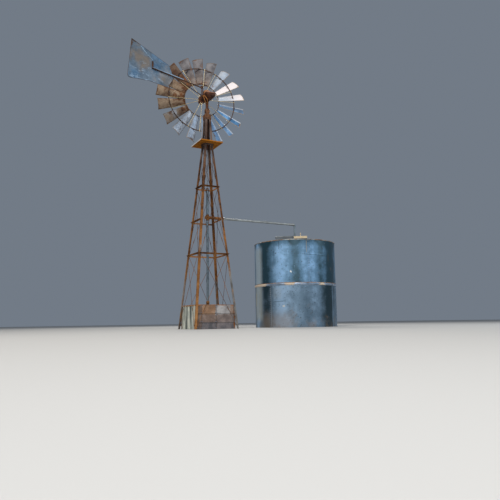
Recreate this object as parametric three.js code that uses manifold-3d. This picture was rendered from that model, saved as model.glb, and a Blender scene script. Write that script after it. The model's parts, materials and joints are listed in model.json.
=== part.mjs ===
// Wind pump on a four-leg steel tower, with its delivery pipe and sheet steel storage tank.
// Millimetres, +Z up. The well is at the origin, the floor is z = 0 and the tank lies along +X.
import * as THREE from 'three';
import { mergeVertices } from 'three/addons/utils/BufferGeometryUtils.js';
import Module from 'manifold-3d';

const wasm = await Module();
wasm.setup();

const degree = Math.PI / 180;

// Gap between pieces that touch, and the play of a pin or rod in its hole.
const seatGap = 0.3;
const runningGap = 0.4;

// Tower: a square of four angle iron legs that lean inwards.
const baseHalf = 590;
const waistHalf = 113;
const waistHeight = 4840;
const legTopHalf = 74;
const legTop = 5700;
const legFlange = 55;
const legThickness = 6;
const girtHeights = { lower: 1890, middle: 2770, upper: 3680 };
const girtDepth = 40;
const girtThickness = 5;
const girtEndInset = 2;
const rodRadius = 5;
const rodOffset = 7;
const rodEnd = 0.9;
const rodFootHeight = 90;

// Platform below the head.
const platformHalf = 320;
const platformBack = 370;
const platformUnderside = 4872;
const platformThickness = 28;
const platformHole = 122;

// Well enclosure of flat sheets inside the legs.
const enclosureHeight = 600;
const sheetThickness = 3;
const lipWidth = 25;
const lipThickness = 4;
const wavePitch = 149;
const waveDepth = 18;

// Pump: well head flange, rising main, gland, rod, and the pipe to the tank.
const flangeRadius = 150;
const flangeThickness = 20;
const mainRadius = 30;
const mainTop = 3600;
const glandRadius = 45;
const glandHeight = 70;
const pumpRodRadius = 8;
const pumpRodTop = 5760;
const pumpRodBottom = 3420;
const pumpRodDepth = 160;
const pumpRodPlay = 4;
const deliveryHeight = 2890;
const teeRadius = 38;
const teeEnd = 450;
const deliveryRadius = 30;
const spoutX = 2700;
const spoutBottom = 2362;

// Mast pipe and the cap that closes the tower round it.
const mastRadius = 36;
const mastBore = 27;
const mastBottom = 4740;
const mastTop = 6000;
const skirtBottom = 5560;
const skirtThickness = 5;
const capShoulder = 5706;
const capTop = 5875;
const knuckleSections = [
  { height: 5712, half: 50 },
  { height: 5780, half: 60 },
  { height: 5840, half: 60 },
  { height: capTop, half: 48 },
];

// Head: it turns on the mast pipe. The shaft dips towards the wheel.
const headYaw = -5 * degree;
const shaftDip = 5.5 * degree;
const hubReach = 510;
const hubHeight = 6310;
const turntableTop = 6045;
const turntableRadius = 42;
const mastHeadroom = 5;
const caseBottom = turntableTop + seatGap;
const caseLeft = 130;
const caseRight = 180;
const bowlSections = [
  { height: caseBottom, left: 50, right: 90, front: 50, back: -195 },
  { height: 6070, left: 84, right: 130, front: 84, back: -244 },
  { height: 6105, left: 104, right: 150, front: 104, back: -268 },
  { height: 6150, left: 118, right: 166, front: 118, back: -283 },
  { height: 6220, left: 126, right: 175, front: 128, back: -294 },
  { height: 6224, left: caseLeft, right: caseRight, front: 132, back: -300 },
  { height: 6248, left: caseLeft, right: caseRight, front: 132, back: -300 },
];
const hoodSections = [
  { height: 6240, left: 116, right: 84, front: 120, back: -172 },
  { height: 6330, left: 110, right: 72, front: 116, back: -120 },
  { height: 6395, left: 84, right: 42, front: 92, back: -60 },
];
const caseCorner = 0.35;
const shaftRadius = 22;
const shaftPocket = 40;
const shaftBack = 20;
const shaftNose = 20;
const bossRadius = 46;
const bossLength = 340;

// Wheel: six sections of three blades.
const wheelRadius = 1270;
const bladeInnerRadius = 478;
const bladeTipChord = 303;
const bladeInnerChord = 165;
const bladeBulge = 0.1;
const bladePitch = -30 * degree;
const bladeThickness = 2.5;
const bladeCount = 18;
const bladesInSection = 3;
const firstBladeAngle = 173.7 * degree;
const ringRadii = { outer: 951, inner: 504 };
const ringBackFaces = { outer: 66, inner: 44 };
const ringDepth = 18;
const ringThickness = { outer: 20, inner: 12 };
const armRadius = 6;
const armReach = 972;
const hubRadius = 74;
const hubHalfLength = 90;
const collarRadius = 112;
const collarHalfDepth = 10;

// Tail: it swings on a vertical pin beside the gear case.
const pivotX = -172;
const pivotY = -50;
const tailAngle = -156.7 * degree;
const boomHeight = 6434;
const braceHeight = 6213;
const boomRadius = 16;
const boomEnd = 1590;
const braceJoin = 941;
const pinRadius = 10;
const eyeRadius = 24;
const eyeHeight = 40;
const lugHalfWidth = 24;
const lugHeight = 23.5;
const lugGap = 0.5;
const backPlate = 10;
const tailBraceRadius = 12;
const strutHeight = 185;
const strutHalfWidth = 15;
const strutHalfDepth = 12;
const vaneThickness = 3;
const vaneFront = [[1065, 6690], [915, 6398], [1112, 6085], [1655, 6076]];
const vaneBackLow = [2222, 5984];
const vaneBackTurn = [2310, 5974];
const vaneBackSide = [2301, 6064];
const vaneBackTop = [2200, 6996];

// Tank: two courses of three curved sheets, on the floor beside the tower.
const tankX = 2820;
const tankY = 240;
const tankRadius = 1147;
const tankRim = 2353;
const bandHeight = 1153;
const bandDepth = 76;
const bandStand = 12;
const rimDepth = 24;
const roofRise = 110;
const roofDrop = 6;
const tankSides = 96;
const tankFloorThickness = 4;
const sheetsInCourse = 3;
const lowerSeamAngle = -158.5 * degree;
const upperSeamAngle = -103.5 * degree;
const hatchTurn = -32.5 * degree;
const kerbX = [-505, 350];
const kerbY = [-490, -90];
const kerbTop = 2506;
const kerbBottom = 2345;
const leftCoverThickness = 34;
const rightCoverThickness = 20;
const rightCoverDrop = 44;
const coverOverhang = 18;
const coverPlay = 2;
const kerbWall = 5;
const stubRadius = 12;
const stubHeight = 150;
const stubOffset = 160;
const rimStand = 6;
const coverGap = deliveryRadius + seatGap;

const paint = {
  rust: { color: 0x8a4b24, roughness: 0.85, metalness: 0.35 },
  darkRust: { color: 0x4a2416, roughness: 0.8, metalness: 0.4 },
  weathered: { color: 0x8f9aa3, roughness: 0.5, metalness: 0.7 },
  tank: { color: 0x6f8799, roughness: 0.4, metalness: 0.75 },
  sheet: { color: 0x84705f, roughness: 0.8, metalness: 0.35 },
  pipe: { color: 0x7f8a94, roughness: 0.5, metalness: 0.6 },
  cover: { color: 0xd8c8a4, roughness: 0.8, metalness: 0.1 },
};

const root = new THREE.Group();

function solidOf(geometry) {
  const bare = geometry.clone();
  bare.deleteAttribute('normal');
  bare.deleteAttribute('uv');
  const merged = mergeVertices(bare, 1e-4);
  return new wasm.Manifold(new wasm.Mesh({
    numProp: 3,
    vertProperties: new Float32Array(merged.attributes.position.array),
    triVerts: new Uint32Array(merged.index.array),
  }));
}

function geometryOf(solid) {
  const mesh = solid.getMesh();
  const geometry = new THREE.BufferGeometry();
  geometry.setAttribute('position', new THREE.BufferAttribute(mesh.vertProperties, 3));
  geometry.setIndex(new THREE.BufferAttribute(mesh.triVerts, 1));
  return geometry;
}

function join(...geometries) {
  return geometryOf(geometries.map(solidOf).reduce((sum, solid) => sum.add(solid)));
}

function cut(geometry, ...tools) {
  return geometryOf(tools.map(solidOf).reduce((rest, tool) => rest.subtract(tool), solidOf(geometry)));
}

function block(low, high) {
  const size = low.map((value, i) => high[i] - value);
  const middle = low.map((value, i) => (high[i] + value) / 2);
  return new THREE.BoxGeometry(...size).translate(...middle);
}

// A round bar from one point to another.
function bar(from, to, radius, sides = 24) {
  const start = new THREE.Vector3(...from);
  const end = new THREE.Vector3(...to);
  const direction = end.clone().sub(start);
  const turn = new THREE.Quaternion().setFromUnitVectors(
    new THREE.Vector3(0, 1, 0),
    direction.clone().normalize(),
  );
  const middle = start.add(end).multiplyScalar(0.5);
  return new THREE.CylinderGeometry(radius, radius, direction.length(), sides)
    .applyQuaternion(turn)
    .translate(middle.x, middle.y, middle.z);
}

function pillar(radius, bottom, top, sides = 48, x = 0, y = 0) {
  return bar([x, y, bottom], [x, y, top], radius, sides);
}

// A closed skin through equal rings of points, each ring level and counter-clockwise from above.
function loft(rings) {
  const count = rings[0].length;
  const positions = rings.flat().flatMap((point) => point.toArray());
  const last = (rings.length - 1) * count;
  const index = [];
  for (let ring = 0; ring + 1 < rings.length; ring += 1) {
    for (let i = 0; i < count; i += 1) {
      const here = ring * count + i;
      const next = ring * count + ((i + 1) % count);
      index.push(here, next, next + count, here, next + count, here + count);
    }
  }
  const flat = (ring) => ring.map((point) => new THREE.Vector2(point.x, point.y));
  for (const [a, b, c] of THREE.ShapeUtils.triangulateShape(flat(rings[0]), [])) {
    index.push(c, b, a);
  }
  for (const [a, b, c] of THREE.ShapeUtils.triangulateShape(flat(rings.at(-1)), [])) {
    index.push(last + a, last + b, last + c);
  }
  const geometry = new THREE.BufferGeometry();
  geometry.setAttribute('position', new THREE.Float32BufferAttribute(positions, 3));
  geometry.setIndex(index);
  return geometry;
}

// Part of a ring: between two radii and two angles, from one height to another.
function arcWall(inner, outer, from, to, bottom, top, steps) {
  const shape = new THREE.Shape();
  for (let i = 0; i <= steps; i += 1) {
    const angle = from + ((to - from) * i) / steps;
    const point = [outer * Math.cos(angle), outer * Math.sin(angle)];
    if (i === 0) {
      shape.moveTo(...point);
    } else {
      shape.lineTo(...point);
    }
  }
  for (let i = steps; i >= 0; i -= 1) {
    const angle = from + ((to - from) * i) / steps;
    shape.lineTo(inner * Math.cos(angle), inner * Math.sin(angle));
  }
  shape.closePath();
  return new THREE.ExtrudeGeometry(shape, { depth: top - bottom, bevelEnabled: false })
    .translate(0, 0, bottom);
}

function add(parent, name, geometry, look) {
  const mesh = new THREE.Mesh(geometry, new THREE.MeshStandardMaterial(paint[look]));
  mesh.name = name;
  parent.add(mesh);
}

// Half side of the tower at a height, to the outside of the legs.
function towerHalf(height) {
  if (height <= waistHeight) {
    return baseHalf + ((waistHalf - baseHalf) * height) / waistHeight;
  }
  return waistHalf + ((legTopHalf - waistHalf) * (height - waistHeight)) / (legTop - waistHeight);
}

const corners = { front: [-1, -1], right: [1, -1], back: [1, 1], left: [-1, 1] };

function angleSection(height, [signX, signY]) {
  const half = towerHalf(height);
  const points = [
    [0, 0],
    [legFlange, 0],
    [legFlange, legThickness],
    [legThickness, legThickness],
    [legThickness, legFlange],
    [0, legFlange],
  ];
  const ring = points.map(([x, y]) => new THREE.Vector3(
    signX * (half - x),
    signY * (half - y),
    height,
  ));
  return signX * signY < 0 ? ring.reverse() : ring;
}

function addLegs() {
  for (const [name, signs] of Object.entries(corners)) {
    const heights = [0, waistHeight, legTop];
    add(root, `leg_${name}`, loft(heights.map((height) => angleSection(height, signs))), 'rust');
  }
}

// A point on a face of the tower: across from -1 to 1 between the legs, and out from the legs.
function facePoint(quarter, across, height, out) {
  const half = towerHalf(height);
  const point = new THREE.Vector3(across * half, -half - out, height);
  return point.applyAxisAngle(new THREE.Vector3(0, 0, 1), quarter * 90 * degree).toArray();
}

function girt(quarter, height) {
  const bottom = height - girtDepth / 2;
  const half = towerHalf(bottom);
  const end = half - girtEndInset;
  const inner = -half - seatGap;
  const upright = block(
    [-end, inner - girtThickness, bottom],
    [end, inner, bottom + girtDepth],
  );
  const ledge = block(
    [-end, inner - girtDepth, bottom + girtDepth - girtThickness],
    [end, inner, bottom + girtDepth],
  );
  return join(upright, ledge).rotateZ(quarter * 90 * degree);
}

function brace(quarter, low, high) {
  const rods = [-1, 1].map((lean) => bar(
    facePoint(quarter, -lean * rodEnd, low, rodOffset),
    facePoint(quarter, lean * rodEnd, high, rodOffset),
    rodRadius,
    8,
  ));
  return join(...rods);
}

// Each side of the tower: its girts, fused with the crossed rods between them.
function addSides() {
  const { lower, middle, upper } = girtHeights;
  const bearer = platformUnderside - seatGap - girtDepth / 2;
  const pipeRest = deliveryHeight - teeRadius - seatGap - girtDepth / 2;
  const sides = {
    front: [lower, upper, bearer],
    right: [lower, pipeRest, upper, bearer],
    back: [lower, middle, upper, bearer],
    left: [lower, middle, upper, bearer],
  };
  Object.entries(sides).forEach(([name, heights], quarter) => {
    const pieces = heights.map((height) => girt(quarter, height));
    pieces.push(brace(quarter, rodFootHeight, lower));
    pieces.push(brace(quarter, lower, upper));
    pieces.push(brace(quarter, upper, bearer));
    add(root, `lattice_${name}`, join(...pieces), 'rust');
  });
}

function addPlatform() {
  const board = block(
    [-platformHalf, -platformHalf, platformUnderside],
    [platformHalf, platformBack, platformUnderside + platformThickness],
  );
  const hole = block(
    [-platformHole, -platformHole, platformUnderside - 1],
    [platformHole, platformHole, platformUnderside + platformThickness + 1],
  );
  add(root, 'platform', cut(board, hole), 'rust');
}

// A wavy sheet from one x to another, upright, its outer crests on the line y = edge.
function wavySheet(from, to, edge) {
  const steps = 112;
  const wave = (x) => edge + (waveDepth / 2) * (1 - Math.cos((2 * Math.PI * (x - from)) / wavePitch));
  const outline = [];
  for (let i = 0; i <= steps; i += 1) {
    const x = from + ((to - from) * i) / steps;
    outline.push(new THREE.Vector2(x, wave(x)));
  }
  const inside = outline.map((point) => new THREE.Vector2(point.x, point.y + sheetThickness));
  const shape = new THREE.Shape([...outline, ...inside.reverse()]);
  return new THREE.ExtrudeGeometry(shape, { depth: enclosureHeight, bevelEnabled: false });
}

// Four sheets set round like a pinwheel, each with a lip along its top. The left one is corrugated.
function addEnclosure() {
  const outer = towerHalf(enclosureHeight) - legThickness - seatGap;
  const inner = outer - sheetThickness;
  const lipEnd = inner - lipWidth - 2 * sheetThickness;
  const lip = block(
    [-lipEnd, -outer + 1, enclosureHeight - lipThickness],
    [lipEnd, -outer + lipWidth + sheetThickness, enclosureHeight],
  );
  ['front', 'right', 'back', 'left'].forEach((name, quarter) => {
    const sheet = name === 'left'
      ? wavySheet(-outer, inner - seatGap, -outer)
      : block([-outer, -outer, 0], [inner - seatGap, -inner, enclosureHeight]);
    const piece = join(sheet, lip).rotateZ(quarter * 90 * degree);
    add(root, `enclosure_${name}`, piece, 'sheet');
  });
}

function addPump() {
  add(root, 'well_flange', pillar(flangeRadius, 0, flangeThickness), 'darkRust');

  const main = pillar(mainRadius, flangeThickness + seatGap, mainTop, 32);
  const shaft = pillar(pumpRodRadius + pumpRodPlay, pumpRodBottom - pumpRodDepth, mainTop + 1, 32);
  add(root, 'rising_main', cut(main, shaft), 'pipe');

  const gland = pillar(glandRadius, mainTop + seatGap, mainTop + glandHeight, 32);
  const bore = pillar(pumpRodRadius + runningGap, mainTop, mainTop + glandHeight + 1, 32);
  add(root, 'rod_gland', cut(gland, bore), 'darkRust');
  add(root, 'pump_rod', pillar(pumpRodRadius, pumpRodBottom, pumpRodTop, 16), 'weathered');

  const seat = pillar(mainRadius + seatGap, deliveryHeight - 100, deliveryHeight + 100, 32);
  const branch = bar([0, 0, deliveryHeight], [teeEnd, 0, deliveryHeight], teeRadius, 32);
  add(root, 'delivery_branch', cut(branch, seat), 'rust');

  const socket = spoutX - 2 * deliveryRadius;
  const along = bar(
    [teeEnd + seatGap, 0, deliveryHeight],
    [socket - seatGap, 0, deliveryHeight],
    deliveryRadius,
    32,
  );
  add(root, 'delivery_pipe', along, 'pipe');
  const knee = new THREE.SphereGeometry(deliveryRadius, 32, 16)
    .translate(spoutX, 0, deliveryHeight);
  const mouth = bar([socket, 0, deliveryHeight], [spoutX, 0, deliveryHeight], deliveryRadius, 32);
  const drop = pillar(deliveryRadius, spoutBottom, deliveryHeight, 32, spoutX, 0);
  add(root, 'delivery_spout', join(mouth, knee, drop), 'pipe');
}

function addMast() {
  const pipe = pillar(mastRadius, mastBottom, mastTop);
  const bore = pillar(mastBore, mastBottom - 1, mastTop + 1);
  add(root, 'mast_pipe', cut(pipe, bore), 'darkRust');

  // The cap sits on the legs and its skirt goes down outside them.
  const inside = towerHalf(skirtBottom) + seatGap;
  const half = inside + skirtThickness;
  const square = (size, height) => [[-1, -1], [1, -1], [1, 1], [-1, 1]]
    .map(([x, y]) => new THREE.Vector3(x * size, y * size, height));
  const shoulder = loft([
    square(half, skirtBottom),
    square(half, capShoulder),
    ...knuckleSections.map((section) => square(section.half, section.height)),
  ]);
  const pocket = block([-inside, -inside, skirtBottom - 1], [inside, inside, legTop + seatGap]);
  const opening = pillar(mastRadius + seatGap, skirtBottom - 1, capTop + 1);
  add(root, 'mast_cap', cut(shoulder, pocket, opening), 'rust');
}

// The head is drawn with its wheel towards +Y and turned to its place.
const head = new THREE.Group();
head.rotation.z = headYaw;
root.add(head);

function addHead() {
  const ring = pillar(turntableRadius, capTop + seatGap, turntableTop);
  const socket = pillar(mastRadius + runningGap, capTop, mastTop + mastHeadroom);
  add(head, 'turntable', cut(ring, socket), 'darkRust');

  const bowl = loft(bowlSections.map(caseRing));
  const hood = loft(hoodSections.map(caseRing));
  const bossFront = hubReach - hubHalfLength - seatGap;
  const boss = bar(shaftPoint(bossFront), shaftPoint(bossFront - bossLength), bossRadius, 32);
  const bore = bar(shaftPoint(-shaftPocket), shaftPoint(hubReach + 10), shaftRadius + runningGap, 32);
  add(head, 'gear_case', cut(join(bowl, hood, boss), bore), 'darkRust');
}

// One level of the gear case: a rectangle with its corners cut off.
function caseRing({ height, left, right, front, back }) {
  const corner = ((left + right) / 2) * caseCorner;
  return [
    [-left + corner, back],
    [right - corner, back],
    [right, back + corner],
    [right, front - corner],
    [right - corner, front],
    [-left + corner, front],
    [-left, front - corner],
    [-left, back + corner],
  ].map(([x, y]) => new THREE.Vector3(x, y, height));
}

// A point on the wheel shaft in the head's frame, by its distance from the mast's axis.
function shaftPoint(reach) {
  return [
    0,
    reach * Math.cos(shaftDip),
    hubHeight + (hubReach - reach) * Math.sin(shaftDip),
  ];
}

// The tail hinge: a bracket on the gear case with lugs and a pin.
function addTailHinge() {
  const low = braceHeight - eyeHeight / 2 - lugHeight;
  const high = boomHeight + eyeHeight / 2 + lugGap;
  const back = -caseLeft - seatGap;
  const [near, far] = [pivotY - lugHalfWidth, pivotY + lugHalfWidth];
  const lugs = [low, high].map((bottom) => block(
    [pivotX - lugHalfWidth, near, bottom],
    [back, far, bottom + lugHeight],
  ));
  const plate = block([back - backPlate, near, low], [back, far, high + lugHeight]);
  const pin = pillar(pinRadius, low, high + lugHeight, 24, pivotX, pivotY);
  add(head, 'tail_bracket', join(pin, plate, ...lugs), 'darkRust');
}

// The wheel is drawn flat: x across, y up and z backwards along its shaft.
const wheel = new THREE.Group();
wheel.applyMatrix4(new THREE.Matrix4().makeBasis(
  new THREE.Vector3(1, 0, 0),
  new THREE.Vector3(0, Math.sin(shaftDip), Math.cos(shaftDip)),
  new THREE.Vector3(0, -Math.cos(shaftDip), Math.sin(shaftDip)),
).setPosition(...shaftPoint(hubReach)));
head.add(wheel);

function blade(angle) {
  const steps = 8;
  const stations = [bladeInnerRadius, (bladeInnerRadius + wheelRadius) / 2, wheelRadius];
  const rings = stations.map((radius) => {
    const share = (radius - bladeInnerRadius) / (wheelRadius - bladeInnerRadius);
    const chord = bladeInnerChord + (bladeTipChord - bladeInnerChord) * share;
    const edge = (side, i) => {
      const across = (2 * i) / steps - 1;
      const x = (across * chord) / 2;
      const y = bladeBulge * chord * (1 - across * across) + (side * bladeThickness) / 2;
      return new THREE.Vector3(x, y, radius)
        .applyAxisAngle(new THREE.Vector3(0, 0, 1), bladePitch);
    };
    const near = Array.from({ length: steps + 1 }, (unused, i) => edge(-1, i));
    const far = Array.from({ length: steps + 1 }, (unused, i) => edge(1, steps - i));
    return [...near, ...far];
  });
  return loft(rings).applyMatrix4(new THREE.Matrix4().makeBasis(
    new THREE.Vector3(-Math.sin(angle), Math.cos(angle), 0),
    new THREE.Vector3(0, 0, 1),
    new THREE.Vector3(Math.cos(angle), Math.sin(angle), 0),
  ));
}

function addWheel() {
  const step = (2 * Math.PI) / bladeCount;
  const sections = bladeCount / bladesInSection;
  for (let section = 0; section < sections; section += 1) {
    const first = firstBladeAngle + section * bladesInSection * step;
    const from = first - step / 2;
    const to = from + bladesInSection * step;
    const rings = Object.entries(ringRadii).map(([ring, radius]) => arcWall(
      radius - ringThickness[ring] / 2,
      radius + ringThickness[ring] / 2,
      from + seatGap / radius / 2,
      to - seatGap / radius / 2,
      ringBackFaces[ring] - ringDepth,
      ringBackFaces[ring],
      12,
    ));
    const blades = Array.from({ length: bladesInSection }, (unused, i) => blade(first + i * step));
    add(wheel, `wheel_section_${section + 1}`, join(...rings, ...blades), 'weathered');
  }

  const armHeight = ringBackFaces.outer + seatGap + armRadius;
  const collar = cut(
    bar([0, 0, armHeight - collarHalfDepth], [0, 0, armHeight + collarHalfDepth], collarRadius, 48),
    bar([0, 0, 0], [0, 0, 2 * hubHalfLength], hubRadius + seatGap, 48),
  );
  const arms = [];
  for (let section = 0; section < sections; section += 1) {
    const middle = firstBladeAngle + (section * bladesInSection + 1) * step;
    for (const side of [-1, 1]) {
      const angle = middle + (side * step) / 2;
      const reach = (radius) => [radius * Math.cos(angle), radius * Math.sin(angle), armHeight];
      arms.push(bar(reach(collarRadius - 10), reach(armReach), armRadius, 8));
    }
  }
  add(wheel, 'wheel_arms', join(collar, ...arms), 'rust');
  const hub = bar([0, 0, -hubHalfLength], [0, 0, hubHalfLength], hubRadius, 48);
  const shaft = bar([0, 0, -hubHalfLength - shaftNose], [0, 0, hubReach + shaftBack], shaftRadius, 32);
  add(wheel, 'wheel_hub', join(hub, shaft), 'darkRust');
}

// The tail is drawn along +X from its pin and turned to its place.
const tail = new THREE.Group();
tail.position.set(pivotX, pivotY, 0);
tail.rotation.z = tailAngle;
head.add(tail);

function addTail() {
  const eyes = [braceHeight, boomHeight].map((height) => pillar(
    eyeRadius,
    height - eyeHeight / 2 + lugGap,
    height + eyeHeight / 2,
    32,
  ));
  const boom = bar([0, 0, boomHeight], [boomEnd, 0, boomHeight], boomRadius, 16);
  const brace = bar([0, 0, braceHeight], [braceJoin, 0, boomHeight], tailBraceRadius, 12);
  const strut = block(
    [boomEnd - strutHalfWidth, -strutHalfDepth, boomHeight],
    [boomEnd + strutHalfWidth, strutHalfDepth, boomHeight + strutHeight],
  );
  const hole = pillar(pinRadius + runningGap, braceHeight - 100, boomHeight + 100, 32);
  add(tail, 'tail_boom', cut(join(...eyes, boom, brace, strut), hole), 'darkRust');

  const outline = new THREE.Shape(vaneFront.map((point) => new THREE.Vector2(...point)));
  outline.lineTo(...vaneBackLow);
  outline.quadraticCurveTo(...vaneBackTurn, ...vaneBackSide);
  outline.lineTo(...vaneBackTop);
  outline.closePath();
  const vane = new THREE.ExtrudeGeometry(outline, { depth: vaneThickness, bevelEnabled: false })
    .rotateX(Math.PI / 2)
    .translate(0, -boomRadius - seatGap, 0);
  add(tail, 'tail_vane', vane, 'weathered');
}

const tank = new THREE.Group();
tank.position.set(tankX, tankY, 0);
root.add(tank);

function addTank() {
  const inner = tankRadius - sheetThickness;
  const liner = inner * Math.cos(Math.PI / tankSides) - seatGap;
  const floor = pillar(liner, 0, tankFloorThickness, tankSides);
  add(tank, 'tank_floor', floor, 'tank');

  const bandBottom = bandHeight - bandDepth / 2;
  const bandTop = bandHeight + bandDepth / 2;
  const courses = [
    { name: 'lower', bottom: 0, top: bandBottom - seatGap, seam: lowerSeamAngle },
    { name: 'upper', bottom: bandTop + seatGap, top: tankRim - rimDepth - seatGap, seam: upperSeamAngle },
  ];
  for (const course of courses) {
    for (let i = 0; i < sheetsInCourse; i += 1) {
      const from = course.seam + (i * 2 * Math.PI) / sheetsInCourse;
      const to = from + (2 * Math.PI) / sheetsInCourse - seatGap / tankRadius;
      add(
        tank,
        `tank_${course.name}_sheet_${i + 1}`,
        arcWall(inner, tankRadius, from, to, course.bottom, course.top, tankSides / sheetsInCourse),
        'tank',
      );
    }
  }
  const ringOf = (stand, bottom, top) => cut(
    pillar(tankRadius + stand, bottom, top, tankSides),
    pillar(inner, bottom - 1, top + 1, tankSides),
  );
  add(tank, 'tank_band', ringOf(bandStand, bandBottom, bandTop), 'tank');
  add(tank, 'tank_rim', ringOf(rimStand, tankRim - rimDepth, tankRim), 'tank');
  addRoof(liner);
  addHatch();
}

function addRoof(radius) {
  const edge = tankRim - roofDrop;
  const lathe = new THREE.LatheGeometry([
    new THREE.Vector2(0, edge + roofRise - sheetThickness),
    new THREE.Vector2(radius, edge - sheetThickness),
    new THREE.Vector2(radius, edge),
    new THREE.Vector2(0, edge + roofRise),
  ], tankSides).rotateX(Math.PI / 2);
  const hole = block(
    [kerbX[0] - seatGap, kerbY[0] - seatGap, edge - 100],
    [kerbX[1] + seatGap, kerbY[1] + seatGap, edge + 300],
  ).rotateZ(hatchTurn);
  add(tank, 'tank_roof', cut(lathe, hole), 'tank');
}

// The hatch is drawn square to its kerb, from the tank's axis, and turned to its place.
function addHatch() {
  const hatch = new THREE.Group();
  hatch.rotation.z = hatchTurn;
  tank.add(hatch);
  const [left, right] = kerbX;
  const [near, far] = kerbY;
  const kerb = cut(
    block([left, near, kerbBottom], [right, far, kerbTop]),
    block(
      [left + kerbWall, near + kerbWall, kerbBottom - 1],
      [right - kerbWall, far - kerbWall, kerbTop + 1],
    ),
  );
  add(hatch, 'hatch_kerb', kerb, 'tank');

  const spout = new THREE.Vector2(spoutX - tankX, -tankY).rotateAround(new THREE.Vector2(), -hatchTurn);
  const seat = kerbTop + seatGap;
  const low = near - coverOverhang;
  const high = far + coverOverhang;
  const split = spout.x - coverGap;
  const leftCover = block(
    [left - coverOverhang, low, seat],
    [split - seatGap, high, seat + leftCoverThickness],
  );
  const rightCover = cut(
    block([split, low, seat - rightCoverDrop], [right + coverOverhang, high, seat + rightCoverThickness]),
    block(
      [split - 1, near - coverPlay, seat - rightCoverDrop - 1],
      [right + coverPlay, far + coverPlay, seat],
    ),
    block(
      [split - 1, spout.y - coverGap, seat - 1],
      [spout.x + coverGap, spout.y + coverGap, seat + rightCoverThickness + 1],
    ),
  );
  const stub = pillar(stubRadius, seat, seat + stubHeight, 16, spout.x + stubOffset, spout.y);
  add(hatch, 'hatch_cover_left', leftCover, 'pipe');
  add(hatch, 'hatch_cover_right', join(rightCover, stub), 'cover');
}

addLegs();
addSides();
addPlatform();
addEnclosure();
addPump();
addMast();
addHead();
addTailHinge();
addWheel();
addTail();
addTank();

export default root;
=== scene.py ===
# Wind pump with its storage tank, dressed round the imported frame. Metres, +Z up.
import json
import math
import random
import bmesh
import bpy
from mathutils import Matrix, Vector, noise


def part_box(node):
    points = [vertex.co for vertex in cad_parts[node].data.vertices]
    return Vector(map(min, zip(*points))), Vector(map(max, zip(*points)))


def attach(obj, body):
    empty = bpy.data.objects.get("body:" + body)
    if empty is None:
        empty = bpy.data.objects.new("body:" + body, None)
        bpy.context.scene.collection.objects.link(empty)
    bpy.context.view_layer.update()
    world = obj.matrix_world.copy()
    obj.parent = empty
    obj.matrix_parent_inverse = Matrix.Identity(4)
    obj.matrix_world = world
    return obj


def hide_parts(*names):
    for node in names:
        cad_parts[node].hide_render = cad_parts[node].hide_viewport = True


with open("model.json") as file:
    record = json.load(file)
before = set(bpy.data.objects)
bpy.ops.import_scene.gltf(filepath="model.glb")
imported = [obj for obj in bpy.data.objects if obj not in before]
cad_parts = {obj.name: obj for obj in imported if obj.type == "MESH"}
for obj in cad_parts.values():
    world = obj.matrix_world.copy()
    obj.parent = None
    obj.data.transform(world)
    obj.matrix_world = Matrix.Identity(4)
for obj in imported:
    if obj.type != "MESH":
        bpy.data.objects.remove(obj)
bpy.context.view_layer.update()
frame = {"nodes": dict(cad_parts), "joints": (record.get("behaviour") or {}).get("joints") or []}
scene = bpy.context.scene
joints = {jointAndShadow["name"]: jointAndShadow for jointAndShadow in frame["joints"]}


# Viewpoint, floor and light
viewpoint = {
    "place": (-5.364, -12.588, 0.166),
    "turn": -27.708,
    "rise": 7.72,
    "roll": -0.848,
    "lens": 38.06,
    "sensor": 36.0,
}
studio = {
    "floorHalf": 45.0,
    "floorColour": (0.50, 0.49, 0.47, 1),
    "skyColour": (0.56, 0.66, 0.80, 1),
    "skyStrength": 0.30,
    "key": {"place": (-9.0, -10.0, 14.0), "size": 5.0, "power": 2300, "colour": (1.0, 0.95, 0.88)},
    "fill": {"place": (10.0, -9.0, 7.0), "size": 6.0, "power": 520, "colour": (0.86, 0.93, 1.0)},
    "rim": {"place": (5.0, 10.0, 10.0), "size": 5.0, "power": 750, "colour": (1.0, 0.97, 0.92)},
    "front": {"place": (-6.0, -15.0, 4.0), "size": 6.0, "power": 400, "colour": (0.95, 0.97, 1.0)},
}


def turned(degrees, axis="Z"):
    return Matrix.Rotation(math.radians(degrees), 4, axis)


def setCamera():
    camera = bpy.data.objects.new("camera", bpy.data.cameras.new("camera"))
    scene.collection.objects.link(camera)
    camera.data.sensor_width = viewpoint["sensor"]
    camera.data.lens = viewpoint["lens"]
    camera.data.clip_end = 200
    camera.matrix_world = (
        Matrix.Translation(viewpoint["place"])
        @ turned(viewpoint["turn"])
        @ turned(90 + viewpoint["rise"], "X")
        @ turned(viewpoint["roll"])
    )
    scene.camera = camera


def addSoftbox(name, given, target=(1.2, 0.0, 3.4)):
    light = bpy.data.objects.new(name, bpy.data.lights.new(name, "AREA"))
    scene.collection.objects.link(light)
    light.data.shape = "DISK"
    light.data.size = given["size"]
    light.data.energy = given["power"]
    light.data.color = given["colour"]
    light.visible_camera = False
    light.location = given["place"]
    aim = Vector(target) - Vector(given["place"])
    light.rotation_euler = aim.to_track_quat("-Z", "Y").to_euler()


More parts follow.
